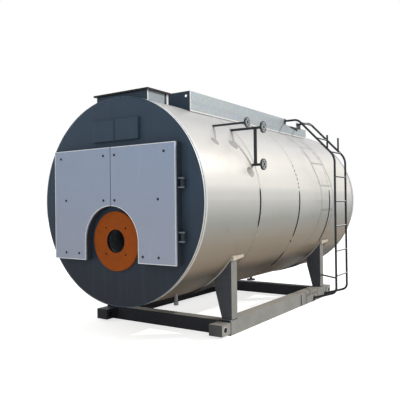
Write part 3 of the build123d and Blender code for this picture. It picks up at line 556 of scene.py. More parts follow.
def stainless(name, tone=1.0, reflection_bands=STAINLESS_REFLECTION_BANDS, ends=None):
    """Stainless sheet whose tones by height are a painted reflection: pale sky above the axis, the earthy
    ground and its shadow below it; a soft mirror above, dull below.
    """
    s = Shader(name, specular=0.08)
    height = s.math("DIVIDE", s.math("SUBTRACT", s.axes()["Z"], AXIS_Z), CLAD_RADIUS)
    wander = s.noise(1.7, detail=3.0, rough=0.5, stretch=(0.6, 1.0, 1.4))
    height = s.math("ADD", height, s.span(wander, -BAND_WANDER, BAND_WANDER))
    spread = s.math("ADD", s.times(height, 0.5), 0.5)
    # The colour ramp by height is a painted reflection of sky and ground.
    colour = s.ramp(spread, [((h + 1) / 2, scaled(c, tone)) for h, c, m in reflection_bands])
    mirror = s.ramp(spread, [((h + 1) / 2, (m, m, m)) for h, c, m in reflection_bands])
    along = s.axes()["Y"]
    for start in lap_starts():
        from_lap = s.math("ABSOLUTE", s.math("SUBTRACT", along, start - LAP_RAMP / 2))
        mirror = s.times(mirror, s.step(from_lap, LAP_RAMP * LAP_DULL[0], LAP_RAMP * LAP_DULL[1]))
    s.set("Metallic", mirror)
    grain = s.noise(26.0, detail=6.0, rough=0.7, stretch=(0.5, 6.0, 0.5))
    colour = s.mix(s.span(grain, 0.0, 0.14), colour, scaled(SHEET_GRAIN, tone))
    stains = s.patches(s.noise(3.2, detail=6.0, rough=0.66), 0.56, 0.74, most=0.20)
    colour = s.mix(s.times(stains, s.fall(height, *STAIN_FADE)), colour, SHEET_STAIN)
    if ends:
        colour = s.mix(s.step(s.math("ABSOLUTE", s.axes("Normal")["Y"]), *FACING), colour, ends)
    s.fine_bump(2.3, strength=0.10, distance=0.010)
    return s.done(colour, s.noise(7.0, detail=5.0, rough=0.6), 0.30, 0.42)


def cover_paint():
    """Pale blue-grey satin paint of the door covers, a little greyer at the foot."""
    s = Shader("cover_paint", specular=0.3)
    clouds = s.noise(2.2, detail=5.0, rough=0.6)
    colour = s.mix(s.step(s.axes()["Z"], DOOR_LOW.z, DOOR_HIGH.z), COVER_LOW, COVER_HIGH)
    colour = s.mix(s.span(clouds, 0.0, 0.30), colour, scaled(COVER_LOW, 0.80))
    runs = s.noise(11.0, detail=4.0, rough=0.6, stretch=(1.5, 1.0, 0.12))
    colour = s.mix(s.patches(runs, 0.55, 0.80, most=0.14), colour, COVER_RUN)
    specks = s.noise(60.0, detail=2.0, rough=0.5)
    colour = s.mix(s.patches(specks, 0.70, 0.76, most=0.35), colour, COVER_SPECK)
    s.fine_bump(150.0, strength=0.08, distance=0.0008)
    return s.done(colour, clouds, 0.34, 0.52)


def burner_orange():
    """Orange heat paint with sooty and rubbed patches; soot and painted shade darken the bore, painted shade
    the bolt holes.
    """
    s = Shader("burner_orange", specular=0.1)
    clouds = s.noise(9.0, detail=6.0, rough=0.66)
    colour = s.shades(s.step(clouds, 0.30, 0.70), ORANGE, 0.88, 1.08)
    grime = s.noise(17.0, detail=5.0, rough=0.65)
    colour = s.mix(s.patches(grime, 0.56, 0.72, most=0.20), colour, ORANGE_GRIME)
    rubbed = s.noise(48.0, detail=4.0, rough=0.6)
    colour = s.mix(s.patches(rubbed, 0.64, 0.72, most=0.45), colour, ORANGE_RUBBED)
    axes = s.axes()
    rise = s.math("SUBTRACT", axes["Z"], BURNER_Z)
    from_middle = s.math("SQRT", s.math("ADD", s.math("POWER", axes["X"], 2.0), s.math("POWER", rise, 2.0)))
    # Soot and painted shade in the bore, painted shade deep in the bolt holes.
    soot_and_shade = scaled(SOOT, 0.2)
    colour = s.mix(s.step(from_middle, *past(BURNER_BORE, BORE_SOOT)), soot_and_shade, colour)
    inside = s.fall(from_middle, *past((FLANGE_HIGH.x - FLANGE_LOW.x) / 2, HOLE_ZONE))
    deep_in_shade = s.step(axes["Y"], *past(FLANGE_LOW.y, HOLE_DEPTH))
    colour = s.mix(s.times(inside, deep_in_shade), colour, soot_and_shade)
    s.bump(s.noise(120.0, detail=3.0, rough=0.6), strength=0.15, distance=0.0010)
    return s.done(colour, clouds, 0.48, 0.72)


def galvanised(name, base=GALVANISED, front=None):
    """Galvanised sheet with spangle and white bloom; faces to the front may turn a matt dark slate."""
    s = Shader(name, metallic=ZINC_SHINE)
    bloom = s.noise(6.0, detail=6.0, rough=0.65)
    colour = s.mix(0.10, base, s.cells(55.0), "OVERLAY")
    colour = s.mix(s.patches(bloom, 0.48, 0.75, most=0.35), colour, scaled(base, 1.3))
    stripes = s.noise(16.0, detail=2.0, rough=0.5, stretch=(0.04, 0.04, 1.6))
    colour = s.mix(s.patches(stripes, 0.52, 0.62, most=0.16), colour, scaled(base, 0.72))
    if front:
        faced = s.step(s.times(s.axes("Normal")["Y"], -1.0), *FACING)
        colour = s.mix(faced, colour, front)
        s.set("Metallic", s.span(faced, ZINC_SHINE, 0.0))
    s.bump(bloom, strength=0.10, distance=0.0020)
    return s.done(colour, bloom, 0.40, 0.62)


def mottled(name, base, roughness, scale, contrast, bump, metallic=0.0, specular=0.25):
    """A plain finish with grain: darker and lighter by contrast, at a scale in cycles a metre."""
    s = Shader(name, metallic=metallic, specular=specular)
    grain = s.noise(scale, detail=6.0, rough=0.65)
    fine = s.noise(scale * 7, detail=3.0, rough=0.6)
    colour = s.shades(s.step(grain, 0.25, 0.75), base, 1 - contrast, 1 + contrast)
    colour = s.mix(s.patches(fine, 0.60, 0.72, most=0.35), colour, scaled(base, 1 - 1.2 * contrast))
    s.bump(fine, strength=0.25, distance=bump)
    return s.done(colour, grain, max(0.05, roughness - 0.12), min(1.0, roughness + 0.12))


SLATE_PLAIN = slate_paint("slate_paint")
SLATE_PLATE = slate_paint("slate_paint_plate", foot=SLATE_FOOT)
SLATE_PIPE = slate_paint("slate_paint_pipe", base=SLATE_DARK, dust=0.35)
SLATE_SKID = slate_paint("slate_paint_skid", dust=1.0, weathered=True, dust_tone=1.3)
# The stubs' left side gets a darker slate as painted shade.
SLATE_STUBS = slate_paint(
    "slate_paint_stub", base=SLATE_STUB, left=scaled(SLATE_SHADE, 0.7), dust=0.95, weathered=True
)
SLATE_FRONT = slate_paint("slate_paint_walkway", base=scaled(SLATE, 0.8))
# The front cross beam gets a darker slate as painted shade.
SLATE_BEAM_SHADED = slate_paint("slate_paint_beam_shade", base=SLATE_SHADE, dust=0.95, specular=0.05)
# The hinge brackets get a darker slate as painted shade.
SLATE_HINGES_SHADED = slate_paint("slate_paint_hinge_shade", base=SLATE_HINGE_SHADE, dust=0.1)
SLATE_LEGS = slate_paint("slate_paint_leg", base=SLATE_LEG, dust=0.8, weathered=True, bleach_and_light=0.70)
# The left rail and the rear cross beam get a darker slate as painted shade.
SLATE_LEFT_SHADED = slate_paint("slate_paint_shaded", base=scaled(SLATE_SHADE, 1.1), dust=0.2, weathered=True)
RUNG = rung_paint()
DOOR_BODY_SHADED = door_body_paint_and_shade()
PAD = pad_paint()
COVER = cover_paint()
ORANGE_PAINT = burner_orange()
GALVANISED_SHEET = galvanised("galvanised_sheet")
FLUE_SHEET = galvanised("galvanised_flue", base=FLUE_GREY, front=scaled(SLATE, 0.74))
STAINLESS_RIM = stainless("stainless_rim", reflection_bands=RIM_REFLECTION_BANDS, ends=SLATE)
BLACK = mottled("black_paint", PAINT_BLACK, 0.50, scale=14.0, contrast=0.35, bump=0.0006)
SOOTED = mottled("sooted_steel", SOOT, 0.80, scale=22.0, contrast=0.55, bump=0.0020, metallic=0.2)
TUBE_PLATE = mottled("rusted_tube_plate", RUSTED, 0.80, scale=14.0, contrast=0.50, bump=0.0020, metallic=0.1)
REFRACTORY = mottled("refractory", FIRECLAY, 0.92, scale=30.0, contrast=0.28, bump=0.0040)
BURNT = mottled("burnt_refractory", BURNT_CLAY, 0.95, scale=30.0, contrast=0.40, bump=0.0040, specular=0.05)
CREAM = mottled("pad_end_paint", PAD_CREAM, 0.60, scale=18.0, contrast=0.14, bump=0.0010)
BOLTS = mottled("bolt_steel", BOLT_DARK, 0.45, scale=120.0, contrast=0.40, bump=0.0003, metallic=0.5)
FACED = mottled("machined_steel", MACHINED, 0.42, scale=60.0, contrast=0.22, bump=0.0004, metallic=0.5)
EDGE_HIGHLIGHT = mottled("pale_edge_highlight", PALE_EDGE_HIGHLIGHT, 0.48, scale=25.0, contrast=0.10, bump=0.0004)
GAP = mottled("dark_gap", GAP_DARK, 0.9, scale=40.0, contrast=0.40, bump=0.0005, specular=0.0)
PIPE_GREY = mottled("drain_grey", DRAIN_GREY, 0.55, scale=30.0, contrast=0.30, bump=0.0006, metallic=0.1)
RIM_BEAD_SHADE = mottled("rim_bead_shade_paint", RIM_SHADE_GREY, 0.7, scale=40.0, contrast=0.30, bump=0.0005, specular=0.1)
RIVETS = mottled("rivet_steel", RIVET_GREY, 0.50, scale=80.0, contrast=0.15, bump=0.0003, metallic=0.4)
FLASHING = mottled("pale_flashing", FLASHING_PALE, 0.50, scale=30.0, contrast=0.08, bump=0.0008)
ROPE = mottled("sealing_rope", ROPE_PALE, 0.95, scale=160.0, contrast=0.30, bump=0.0015)
WELD = mottled("painted_weld", scaled(SLATE_DARK, 0.8), 0.55, scale=90.0, contrast=0.40, bump=0.0012)
TUBE_WELD = mottled("sooted_weld", RUSTED_WELD, 0.75, scale=60.0, contrast=0.45, bump=0.0012, metallic=0.3)

FINISHES = (
    (SLATE_PLATE, "front_plate rear_plate"),
    (STAINLESS_RIM, "end_rims"),
    (DOOR_BODY_SHADED, "left_door right_door"),
    (COVER, "left_door_cover right_door_cover"),
    (SLATE_HINGES_SHADED, "hinge_brackets"),
    (ORANGE_PAINT, "burner_flange"),
    (GALVANISED_SHEET, "walkway_right walkway_left walkway_deck"),
    (SLATE_FRONT, "walkway_front"),
    (FLUE_SHEET, "flue_outlet"),
    (BLACK, "flue_flange"),
    (SOOTED, "drum smokebox_shell"),
    (TUBE_PLATE, "tube_plate"),
    (BURNT, "burner_tunnel"),
    (SLATE_PIPE, "gauge_pipe water_column ladder_stiles ladder_brace"),
    (RUNG, "ladder_rungs"),
    (SLATE_SKID, "right_rail"),
    (SLATE_LEFT_SHADED, "left_rail rear_cross_beam"),
    (SLATE_BEAM_SHADED, "front_cross_beam"),
    (SLATE_STUBS, "end_stubs"),
    (SLATE_LEGS, " ".join(LEGS)),
    (PAD, "front_saddle_pad rear_saddle_pad"),
    (PIPE_GREY, "drain_fittings"),
)


def paint_nodes():
    """Gives every CAD node its finish; those that aren't listed have plain slate paint."""
    finish = {name: material for material, names in FINISHES for name in names.split()}
    for number, tone in enumerate(SHEET_TONES, start=1):
        finish[f"cladding_sheet_{number}"] = stainless(f"stainless_{number}", tone)
    for name, node in nodes.items():
        material = finish.get(name, SLATE_PLAIN)
        if not node.material_slots:
            node.data.materials.append(material)
        for slot in node.material_slots:
            slot.material = material


# Mesh helpers

def axis_frame(axis):
    """Turns +Z to the given direction."""
    return Vector((0, 0, 1)).rotation_difference(Vector(axis)).to_matrix()


def placed(name, data):
    """A new object in the scene."""
    made = bpy.data.objects.new(name, data)
    bpy.context.scene.collection.objects.link(made)
    return made


class Bag:
    """Gathers small shapes into one mesh piece."""

    def __init__(self):
        self.bm = bmesh.new()

    def skin(self, outlines, closed=False):
        """Joins outlines with faces, and caps the ends of an open run."""
        rings = [[self.bm.verts.new(point) for point in outline] for outline in outlines]
        following = rings[1:] + rings[:1] if closed else rings[1:]
        for lower, upper in zip(rings, following):
            for k in range(len(lower)):
                n = (k + 1) % len(lower)
                self.bm.faces.new((lower[k], lower[n], upper[n], upper[k]))
        if not closed:
            self.bm.faces.new(list(reversed(rings[0])))
            self.bm.faces.new(rings[-1])

    def turned(self, base, axis, profile, segments=20, closed=False):
        """A solid of revolution; the profile is (radius, height) pairs along the axis."""
        turn = axis_frame(axis)
        angles = [math.tau * k / segments for k in range(segments)]
        rings = []
        for radius, height in profile:
            ring = [Vector((radius * math.cos(a), radius * math.sin(a), height)) for a in angles]
            rings.append([Vector(base) + turn @ point for point in ring])
        self.skin(rings, closed)

    def block(self, low, high, chamfer=0.001):
        low, high = Vector(low), Vector(high)
        size = high - low
        place = Matrix.Translation((low + high) / 2) @ Matrix.Diagonal((*size, 1.0))
        made = bmesh.ops.create_cube(self.bm, size=1.0, matrix=place)
        edges = list({e for v in made["verts"] for e in v.link_edges})
        bmesh.ops.bevel(self.bm, geom=edges, offset=chamfer, segments=1, affect="EDGES")

    def bolt(self, base, axis, radius):
        """A hexagon head on a washer."""
        washer, lift = radius * WASHER_RADIUS, radius * WASHER_HEIGHT
        head = radius * HEAD_HEIGHT
        self.turned(base, axis, [(washer * r, lift * h) for r, h in WASHER_PROFILE])
        self.turned(base, axis, [(radius * r, lift + head * h) for r, h in HEAD_PROFILE], segments=6)

    def rivet(self, base, axis, radius):
        """A low dome."""
        self.turned(base, axis, [(radius * r, radius * h) for r, h in RIVET_DOME], segments=10)

    def bead(self, start, end, radius):
        """A straight weld bead with ripples."""
        run = Vector(end) - Vector(start)
        count = max(2, int(run.length / BEAD_PITCH))
        swells = [radius * (1.0 if k % 2 else BEAD_WAIST) for k in range(count + 1)]
        profile = [(swell, run.length * k / count) for k, swell in enumerate(swells)]
        self.turned(start, run, profile, segments=BEAD_SIDES)

    def piece(self, name, slot, material, body="boiler", crease=CREASE):
        """Makes the object and lets it ride on its body; the slot argument is not used."""
        bmesh.ops.recalc_face_normals(self.bm, faces=self.bm.faces)
        for face in self.bm.faces:
            face.smooth = True
        for edge in self.bm.edges:
            edge.smooth = edge.calc_face_angle(math.pi) < math.radians(crease)
        mesh = bpy.data.meshes.new(name)
        self.bm.to_mesh(mesh)
        self.bm.free()
        mesh.materials.append(material)
        made = placed(name, mesh)
        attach(made, body)


def round_axis(degrees, radius, y):
    """A point round the boiler's axis; 0 degrees is level on the ladder side, 90 is on top."""
    a = math.radians(degrees)
    return Vector((radius * math.cos(a), y, AXIS_Z + radius * math.sin(a)))


def radial(degrees):
    a = math.radians(degrees)
    return Vector((math.cos(a), 0, math.sin(a)))


def flat_ring(inner, outer, rise, bevel=RING_BEVEL):
    """Profile of a thin ring with a bevelled outer edge."""
    foot = -RING_SINK
    return [(inner, foot), (outer, foot), (outer, rise - bevel), (outer - RING_BEVEL, rise), (inner, rise)]


def side_span(side, face):
    """Start and end along X of thin trim on a side face."""
    return sorted((side * (face - SINK), side * (face + STRIP_RISE)))


# Cladding details

def arc_strip(bag, y, first, last, width, steps=24):
    """A curved strip on the cladding, tapered at its two ends."""
    point = width * SLIT_POINT
    inner, outer = CLAD_RADIUS, CLAD_RADIUS + LAP_RISE + SLIT_RISE
    rings = []
    for k in range(steps + 1):
        t = k / steps
        degrees = first + (last - first) * t
        share = min(1.0, SLIT_TAPER * min(t, 1 - t) + SLIT_END_SHARE)
        back, front = (y - point - (across - point) * share for across in (0, width))
        corners = ((inner, back), (outer, back), (outer, front), (inner, front))
        rings.append([round_axis(degrees, radius, place) for radius, place in corners])
    bag.skin(rings)


def seam_gaps():
    """The dark gaps under the sheet laps on the ladder side."""
    bag = Bag()
    starts = [start + SLIT_PAST for start in lap_starts()]
    for seam, first, last in SLITS:
        arc_strip(bag, starts[seam], first, last, SLIT_WIDTH)
    for degrees in STITCH_ANGLES:
        arc_strip(bag, starts[STITCH_SEAM], degrees, degrees - STITCH_SPAN, STITCH_WIDTH, steps=4)
    bag.piece("cladding_seam_gaps", "stainless_cladding", GAP)


def seam_rivets():
    """Pop rivets through each lap, all round except under the walkway."""
    bag = Bag()
    radius = CLAD_RADIUS + LAP_RISE - RIVET_SINK
    for start, end in zip(lap_starts(), seam_places()):
        y = (start + end) / 2
        for k in range(int(360 / RIVET_PITCH)):
            degrees = k * RIVET_PITCH + RIVET_PITCH / 2
            if RIVETS_LEFT_OUT[0] < degrees < RIVETS_LEFT_OUT[1]:
                continue
            bag.rivet(round_axis(degrees, radius, y), radial(degrees), RIVET_RADIUS)
    bag.piece("cladding_seam_rivets", "stainless_cladding", RIVETS)


# Smokebox doors

def door_outline(side, inset):
    """Points (x, z) round a door's cover, drawn inwards by inset."""
    seam, edge = DOOR_LOW.x + inset, DOOR_HIGH.x - inset
    low, high = DOOR_LOW.z + inset, DOOR_HIGH.z - inset
    radius = ARCH_RADIUS + inset
    first = math.acos(seam / radius)
    points = [(seam, high), (edge, high), (edge, low), (radius, low)]
    for k in range(ARCH_STEPS + 1):
        a = first * k / ARCH_STEPS
        points.append((radius * math.cos(a), BURNER_Z + radius * math.sin(a)))
    return [(side * x, z) for x, z in points]


def outline_frame(bag, side, outer, inner, y_back, y_front, closed=True):
    """A flat frame along a door's outline between two insets; an open one leaves out the middle seam."""
    rings = []
    for far, near in zip(door_outline(side, outer), door_outline(side, inner)):
        corners = ((far, y_back), (far, y_front), (near, y_front), (near, y_back))
        rings.append([(x, y, z) for (x, z), y in corners])
    bag.skin(rings, closed)


def door_pieces(side, body):
    """A pale strip along the folded edge as a painted highlight, bolts, sealing rope and lining of one door.
    """
    front = DOOR_LOW.y
    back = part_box(body)[1].y
    edge_light, bolts, rope, lining = Bag(), Bag(), Bag(), Bag()
    outline_frame(edge_light, side, TRIM_INSET, TRIM_WIDTH, front + SINK, front - TRIM_RISE, closed=False)
    edge_light.piece(f"{body}_edge_highlight", "cover_paint", EDGE_HIGHLIGHT, body)
    for across, rise in DOOR_BOLTS:
        place = (side * across + DOOR_BOLT_SHIFT, front, AXIS_Z + rise)
        bolts.bolt(place, (0, -1, 0), DOOR_BOLT_RADIUS)
    bolts.piece(f"{body}_cover_bolts", "slate_paint", BOLTS, body)
    half = ROPE_WIDTH / 2
    outline_frame(rope, side, ROPE_INSET - half, ROPE_INSET + half, back - SINK, back + ROPE_RISE)
    rope.piece(f"{body}_sealing_rope", "refractory", ROPE, body)
    face = back + LINING_THICK
    layers = ((0.0, back - SINK), (0.0, face - LINING_CHAMFER), (LINING_CHAMFER, face))
    lining.skin([[(x, y, z) for x, z in door_outline(side, LINING_INSET + more)] for more, y in layers])
    lining.piece(f"{body}_lining", "refractory", REFRACTORY, body)


# Ends of the body

def rim_bead_shades():
    """A grey line round each end rim, painted shade in the rim's rolled bead."""
    bag = Bag()
    low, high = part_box("end_rims")
    radius = (high.x - low.x) / 2
    inner, outer = radius - RIM_LINE_SINK, radius + RIM_LINE_RISE
    for start in (low.y + RIM_LINE_START, high.y - RIM_LINE_START - RIM_LINE_WIDTH):
        end = start + RIM_LINE_WIDTH
        profile = [(inner, start), (outer, start), (outer, end), (inner, end)]
        bag.turned((0, 0, AXIS_Z), (0, 1, 0), profile, segments=96, closed=True)
    bag.piece("end_rim_bead_shade", "stainless_cladding", RIM_BEAD_SHADE)


def rear_bolts():
    """Bolts round the rear cover."""
    bag = Bag()
    low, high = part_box("rear_cover")
    middle = (low.z + high.z) / 2
    face = low.y + REAR_COVER_THICK
    for k in range(REAR_BOLT_COUNT):
        a = math.tau * (k + 0.5) / REAR_BOLT_COUNT
        place = (REAR_BOLT_CIRCLE * math.cos(a), face, middle + REAR_BOLT_CIRCLE * math.sin(a))
        bag.bolt(place, (0, 1, 0), REAR_BOLT_RADIUS)
    bag.piece("rear_cover_bolts", "slate_paint", BOLTS)


def tube_ends():
    """Beaded tube ends on the tube plate, at the bores of the frame."""
    bag = Bag()
    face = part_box("tube_plate")[0].y
    row_rise = TUBE_PITCH * math.cos(math.pi / 6)
    reach = int(TUBE_FIELD / row_rise) + 1
    half = TUBE_BEAD / 2
    profile = [(TUBE_BORE + half * (1 + math.cos(a)), half * math.sin(a)) for a in TUBE_BEAD_ANGLES]
    profile += [(TUBE_BORE, -half), (TUBE_BORE + TUBE_BEAD, -half)]
    for row in range(-reach, reach + 1):
        for column in range(-reach, reach + 1):
            x = (column + (0.5 if row % 2 else 0.0)) * TUBE_PITCH
            z = row * row_rise
            in_field = math.hypot(x, z) + TUBE_BORE < TUBE_FIELD
            clear = math.hypot(x, z - (BURNER_Z - AXIS_Z)) > TUBE_KEEP_OUT
            if in_field and clear and z > TUBE_FIELD_BOTTOM:
                bag.turned((x, face, AXIS_Z + z), (0, -1, 0), profile, segments=18, closed=True)
    bag.piece("tube_end_beads", "sooted_steel", TUBE_WELD)


# Flue and walkway

def flue_strips():
    """Upright strips on both sides of the flue outlet."""
    low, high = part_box("flue_outlet")
    bottom = AXIS_Z + math.sqrt(CLAD_RADIUS ** 2 - high.x ** 2) + FLUE_STRIP_LIFT
    for tone, material in (("pale", FLASHING), ("dark", WELD)):
        bag = Bag()
        for kind, start, width in FLUE_STRIPS:
            if kind != tone:
                continue
            y0 = low.y + start
            for side in (-1, 1):
                x0, x1 = side_span(side, high.x)
                bag.block((x0, y0, bottom), (x1, y0 + width, high.z), FLUE_STRIP_CHAMFER)
        bag.piece(f"flue_{tone}_strips", "galvanised_sheet", material)


def walkway_trim():
    """Pale flashing along the foot of the toe boards and up their front corners."""
    low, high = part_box("walkway_right")
    top = low.z + FLASHING_HEIGHT
    bag = Bag()
    for side in (-1, 1):
        x0, x1 = side_span(side, high.x)
        bag.block((x0, low.y, low.z), (x1, high.y, top), FLASHING_CHAMFER)
        bag.block((x0, low.y, top), (x1, low.y + CORNER_STRIP, high.z), FLASHING_CHAMFER)
    bag.piece("walkway_flashing", "galvanised_sheet", FLASHING)


def deck_studs():
    """Raised lozenges of the chequer plate, turned by turns."""
    low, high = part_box("walkway_deck")
    bag = Bag()
    columns = int((high.x - low.x) / STUD_PITCH)
    rows = int((high.y - low.y) / STUD_PITCH)
    for row in range(rows):
        for column in range(columns):
            x = low.x + (column + 0.5) * (high.x - low.x) / columns
            y = low.y + (row + 0.5) * (high.y - low.y) / rows
            if any(math.hypot(x, y - place) < NECK_ROOM for place in NECK_PLACES):
                continue
            turn = math.pi / 4 if (row + column) % 2 else -math.pi / 4
            along = Vector((math.cos(turn), math.sin(turn), 0))
            across = Vector((-math.sin(turn), math.cos(turn), 0))
            middle = Vector((x, y, high.z))
            foot = [middle + along * (s * STUD_LENGTH / 2) for s in (1, -1)]
            side = [middle + across * (s * STUD_WIDTH / 2) for s in (1, -1)]
            top = middle + Vector((0, 0, STUD_RISE))
            ends = [top + along * (s * STUD_LENGTH / 4) for s in (1, -1)]
            points = (foot[0], side[0], foot[1], side[1], *ends)
            a, b, c, d, e, f = (bag.bm.verts.new(point) for point in points)
            for face in ((a, b, e), (b, f, e), (b, c, f), (c, d, f), (d, e, f), (d, a, e), (a, d, c, b)):
                bag.bm.faces.new(face)
    bag.piece("deck_chequer_studs", "galvanised_sheet", GALVANISED_SHEET, crease=SHARP_CREASE)


def ladder_landing():
    """Dark plates that hold the ladder's ends on the toe board, and the bar under the opening."""
    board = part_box("walkway_right")[1]
    inner, outer = board.x - SINK, board.x + SILL_BAR_THICK
    bag = Bag()
    for start, end, drop in HOOK_PLATES:
        top = board.z - drop
        bag.block((inner, start, top - HOOK_PLATE_HEIGHT), (board.x + HOOK_PLATE_THICK, end, top))
    rings = []
    for y, height in zip(SILL_BAR, SILL_BAR_HEIGHTS):
        foot = SILL_Z - height
        rings.append([(inner, y, SILL_Z), (outer, y, SILL_Z), (outer, y, foot), (inner, y, foot)])
    bag.skin(rings)
    bag.piece("ladder_landing_plates", "slate_paint", SLATE_PIPE, crease=SHARP_CREASE)


# Gauge connections

def gauge_faces():
    """Machined raised faces, gaskets and bolts on the three gauge flanges."""
    faces, gaskets, bolts = Bag(), Bag(), Bag()
    out = (1, 0, 0)
    for name, node, flange in GAUGE_FLANGES:
        mount = MOUNTS[name]
        centre = Vector((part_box(node)[1].x, mount["pos_m"][1], mount["pos_m"][2]))
        face = flat_ring(GASKET_RADIUS, flange * FACE_SHARE, FACE_RISE, FACE_BEVEL)
        faces.turned(centre, out, face, segments=40, closed=True)
        bore = mount["dims"]["r_mm"] / 1000
        foot, top = -RING_SINK, GASKET_RISE
        gasket = [(bore, foot), (GASKET_RADIUS, foot), (GASKET_RADIUS, top), (bore, top)]
        gaskets.turned(centre, out, gasket, segments=32, closed=True)
        circle = flange * GAUGE_BOLT_CIRCLE
        for k in range(GAUGE_BOLT_COUNT):
            a = math.tau * (k + 0.5) / GAUGE_BOLT_COUNT
            offset = Vector((FACE_RISE, circle * math.cos(a), circle * math.sin(a)))
            bolts.bolt(centre + offset, out, flange * GAUGE_BOLT_SHARE)
    faces.piece("gauge_flange_faces", "slate_paint", FACED)
    gaskets.piece("gauge_flange_gaskets", "slate_paint", BLACK)
    bolts.piece("gauge_flange_bolts", "slate_paint", BOLTS)


# Skid and saddles

def pad_ends():
    """Pale wedge bars that close the four saddle ends on the legs."""
    bag = Bag()
    angle = math.radians(PAD_END_ANGLE)
    for node in ("front_saddle_pad", "rear_saddle_pad"):
        low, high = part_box(node)
        radius = AXIS_Z - low.z
        edge_x, edge_z = radius * math.cos(angle), radius * math.sin(angle)
        inner, outer = edge_x - PAD_END_SINK, edge_x + PAD_END_OUT
        top = edge_z + PAD_END_RISE
        for side in (-1, 1):
            rings = []
            for y, drop in zip((low.y, high.y - PAD_END_SHORT), PAD_END_DROPS):
                foot = edge_z - drop
                foot_inner = math.sqrt(radius ** 2 - foot ** 2) + PAD_END_GAP
                corners = ((inner, top), (outer, top), (outer, foot), (foot_inner, foot))
                rings.append([(side * x, y, AXIS_Z + z) for x, z in corners])
            bag.skin(rings)
    bag.piece("saddle_end_bars", "slate_paint", CREAM, crease=SHARP_CREASE)


def haul_rings():
    """Dark rings round the hauling holes, painted shade that widens the holes' dark, and pale rims on the
    right, worn metal and painted highlight together; the left side, in shade, gets no rims.
    """
    shade_rings, lit_rims = Bag(), Bag()
    for name, mount in MOUNTS.items():
        if "haul_hole" not in name:
            continue
        bore = mount["dims"]["r_mm"] / 1000
        outer = bore + HAUL_RING_WIDTH
        x, y, z = mount["pos_m"]
        half = mount["dims"]["length_mm"] / 2000
        for way in (-1, 1):
            ring = flat_ring(bore, outer, HAUL_RING_RISE)
            shade_rings.turned((x + way * half, y, z), (way, 0, 0), ring, segments=32, closed=True)
        # Pale rims, wear and painted highlight, only on the lit right side.
        if x > 0:
            ring = flat_ring(outer, outer + HAUL_RIM_WIDTH, HAUL_RIM_RISE)
            lit_rims.turned((x + half, y, z), (1, 0, 0), ring, segments=32, closed=True)
    shade_rings.piece("haul_hole_shade_rings", "slate_paint", BLACK)
    lit_rims.piece("haul_hole_lit_rims", "slate_paint", FLASHING)


def ladder_feet():
    """Small plates where the ladder's feet meet the rail."""
    bag = Bag()
    length, height = FOOT_PLATE
    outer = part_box("end_stubs")[1].x
    for place in STILE_PLACES:
        end = place + FOOT_PLATE_PAST
        low = (outer - SINK, end - length, FOOT_PLATE_LIFT)
        high = (outer + FOOT_PLATE_THICK, end, FOOT_PLATE_LIFT + height)
        bag.block(low, high, FOOT_PLATE_CHAMFER)
    bag.piece("ladder_foot_plates", "slate_paint", BLACK)


def skid_welds():
    """Weld beads at the feet of the legs, the stubs and the ends of the doubler plates."""
    bag = Bag()
    rail_low, rail_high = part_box("right_rail")
    top = rail_high.z
    for leg in LEGS:
        low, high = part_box(leg)
        side = 1 if high.x > 0 else -1
        outer = high.x if side > 0 else low.x
        inner = outer - side * LEG_FOOT_WIDTH
        for y in (low.y, high.y):
            bag.bead((outer, y, top), (inner, y, top), SKID_WELD)
        bag.bead((outer, low.y, top), (outer, high.y, top), SKID_WELD)
    stub_low, stub_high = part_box("end_stubs")
    for side in (-1, 1):
        outer = side * stub_high.x
        inner = outer - side * STUB_WELD_LENGTH
        for y in (rail_low.y, rail_high.y):
            for z in (stub_low.z, stub_high.z):
                bag.bead((inner, y, z), (outer, y, z), SKID_WELD)
            bag.bead((outer, y, stub_low.z), (outer, y, stub_high.z), SKID_WELD)
        for y in DOUBLER_ENDS:
            bag.bead((outer, y, DOUBLER_WELD_INSET), (outer, y, top - DOUBLER_WELD_INSET), DOUBLER_WELD)
    bag.piece("skid_weld_beads", "slate_paint", WELD)


# Surroundings

def surroundings():
    """White all round to the eye and in reflections, and a soft even light."""
    world = bpy.data.worlds.new("surroundings")
    bpy.context.scene.world = world
    graph = Graph(world)
    path = graph.light_path()
    seen = path["Is Camera Ray"]
    for name in ("Is Glossy Ray", "Is Transmission Ray"):
        seen = graph.math("MAXIMUM", seen, path[name])
    background = graph.tree.nodes["Background"].inputs
    graph.feed(background["Color"], (1.0, 1.0, 1.0))
    graph.feed(background["Strength"], graph.span(seen, SKY_LEVEL, 1.0))


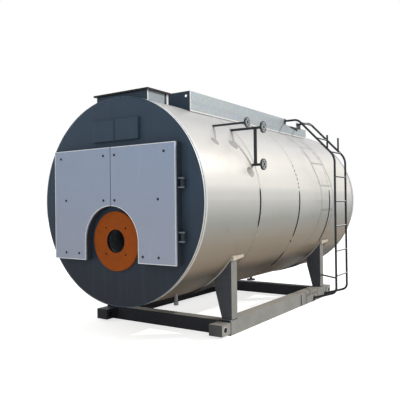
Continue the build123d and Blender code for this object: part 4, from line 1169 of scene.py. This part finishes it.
def floor():
    """A pale floor that shows white and keeps the shadow."""
    half = FLOOR_SIZE / 2
    mesh = bpy.data.meshes.new("floor")
    corners = [(-half, -half, 0), (half, -half, 0), (half, half, 0), (-half, half, 0)]
    mesh.from_pydata(corners, [], [(0, 1, 2, 3)])
    made = placed("floor", mesh)
    material = bpy.data.materials.new("floor")
    graph = Graph(material)
    graph.tree.nodes.clear()
    matt = graph.node("ShaderNodeBsdfDiffuse", {"Color": FLOOR_COLOUR})
    level = graph.times(graph.light_path()["Is Camera Ray"], FLOOR_GLOW)
    glow = graph.node("ShaderNodeEmission", {"Strength": level})
    output = graph.tree.nodes.new("ShaderNodeOutputMaterial")
    graph.feed(output.inputs["Surface"], graph.node("ShaderNodeAddShader", {0: matt, 1: glow}))
    mesh.materials.append(material)


def sun():
    """The sun; its level is what a matt white face turned to it gives back."""
    data = bpy.data.lights.new("sun", "SUN")
    data.energy = SUN_LEVEL * math.pi
    data.angle = math.radians(SUN_ANGLE)
    made = placed("sun", data)
    made.rotation_euler = (-Vector(SUN_FROM)).to_track_quat("-Z", "Y").to_euler()


def fill():
    """A large soft lamp that lightens the shaded front."""
    data = bpy.data.lights.new("fill", "AREA")
    data.shape = "SQUARE"
    data.size = FILL_SIZE
    away = Vector(FILL_TARGET) - Vector(FILL_PLACE)
    data.energy = FILL_LEVEL * math.pi * away.length_squared * math.pi
    made = placed("fill", data)
    made.location = FILL_PLACE
    made.rotation_euler = away.to_track_quat("-Z", "Y").to_euler()
    made.visible_glossy = False


def camera():
    """The photograph's camera."""
    yaw, pitch, roll = (math.radians(a) for a in (CAMERA_YAW, CAMERA_PITCH, CAMERA_ROLL))
    forward = Vector((-math.sin(yaw) * math.cos(pitch), math.cos(yaw) * math.cos(pitch), math.sin(pitch)))
    level = Vector((math.cos(yaw), math.sin(yaw), 0))
    upright = level.cross(forward)
    right = math.cos(roll) * level + math.sin(roll) * upright
    up = math.cos(roll) * upright - math.sin(roll) * level
    data = bpy.data.cameras.new("camera")
    data.sensor_width = SENSOR
    data.lens = SENSOR * FOCAL_PIXELS / IMAGE_PIXELS
    made = placed("camera", data)
    turn = Matrix((right, up, -forward)).transposed().to_4x4()
    made.matrix_world = Matrix.Translation(CAMERA_PLACE) @ turn
    bpy.context.scene.camera = made


paint_nodes()
seam_gaps()
seam_rivets()
rim_bead_shades()
rear_bolts()
tube_ends()
flue_strips()
walkway_trim()
deck_studs()
ladder_landing()
gauge_faces()
pad_ends()
haul_rings()
ladder_feet()
skid_welds()
door_pieces(-1, "left_door")
door_pieces(1, "right_door")

surroundings()
floor()
sun()
fill()
camera()
bpy.context.scene.view_settings.view_transform = "Standard"
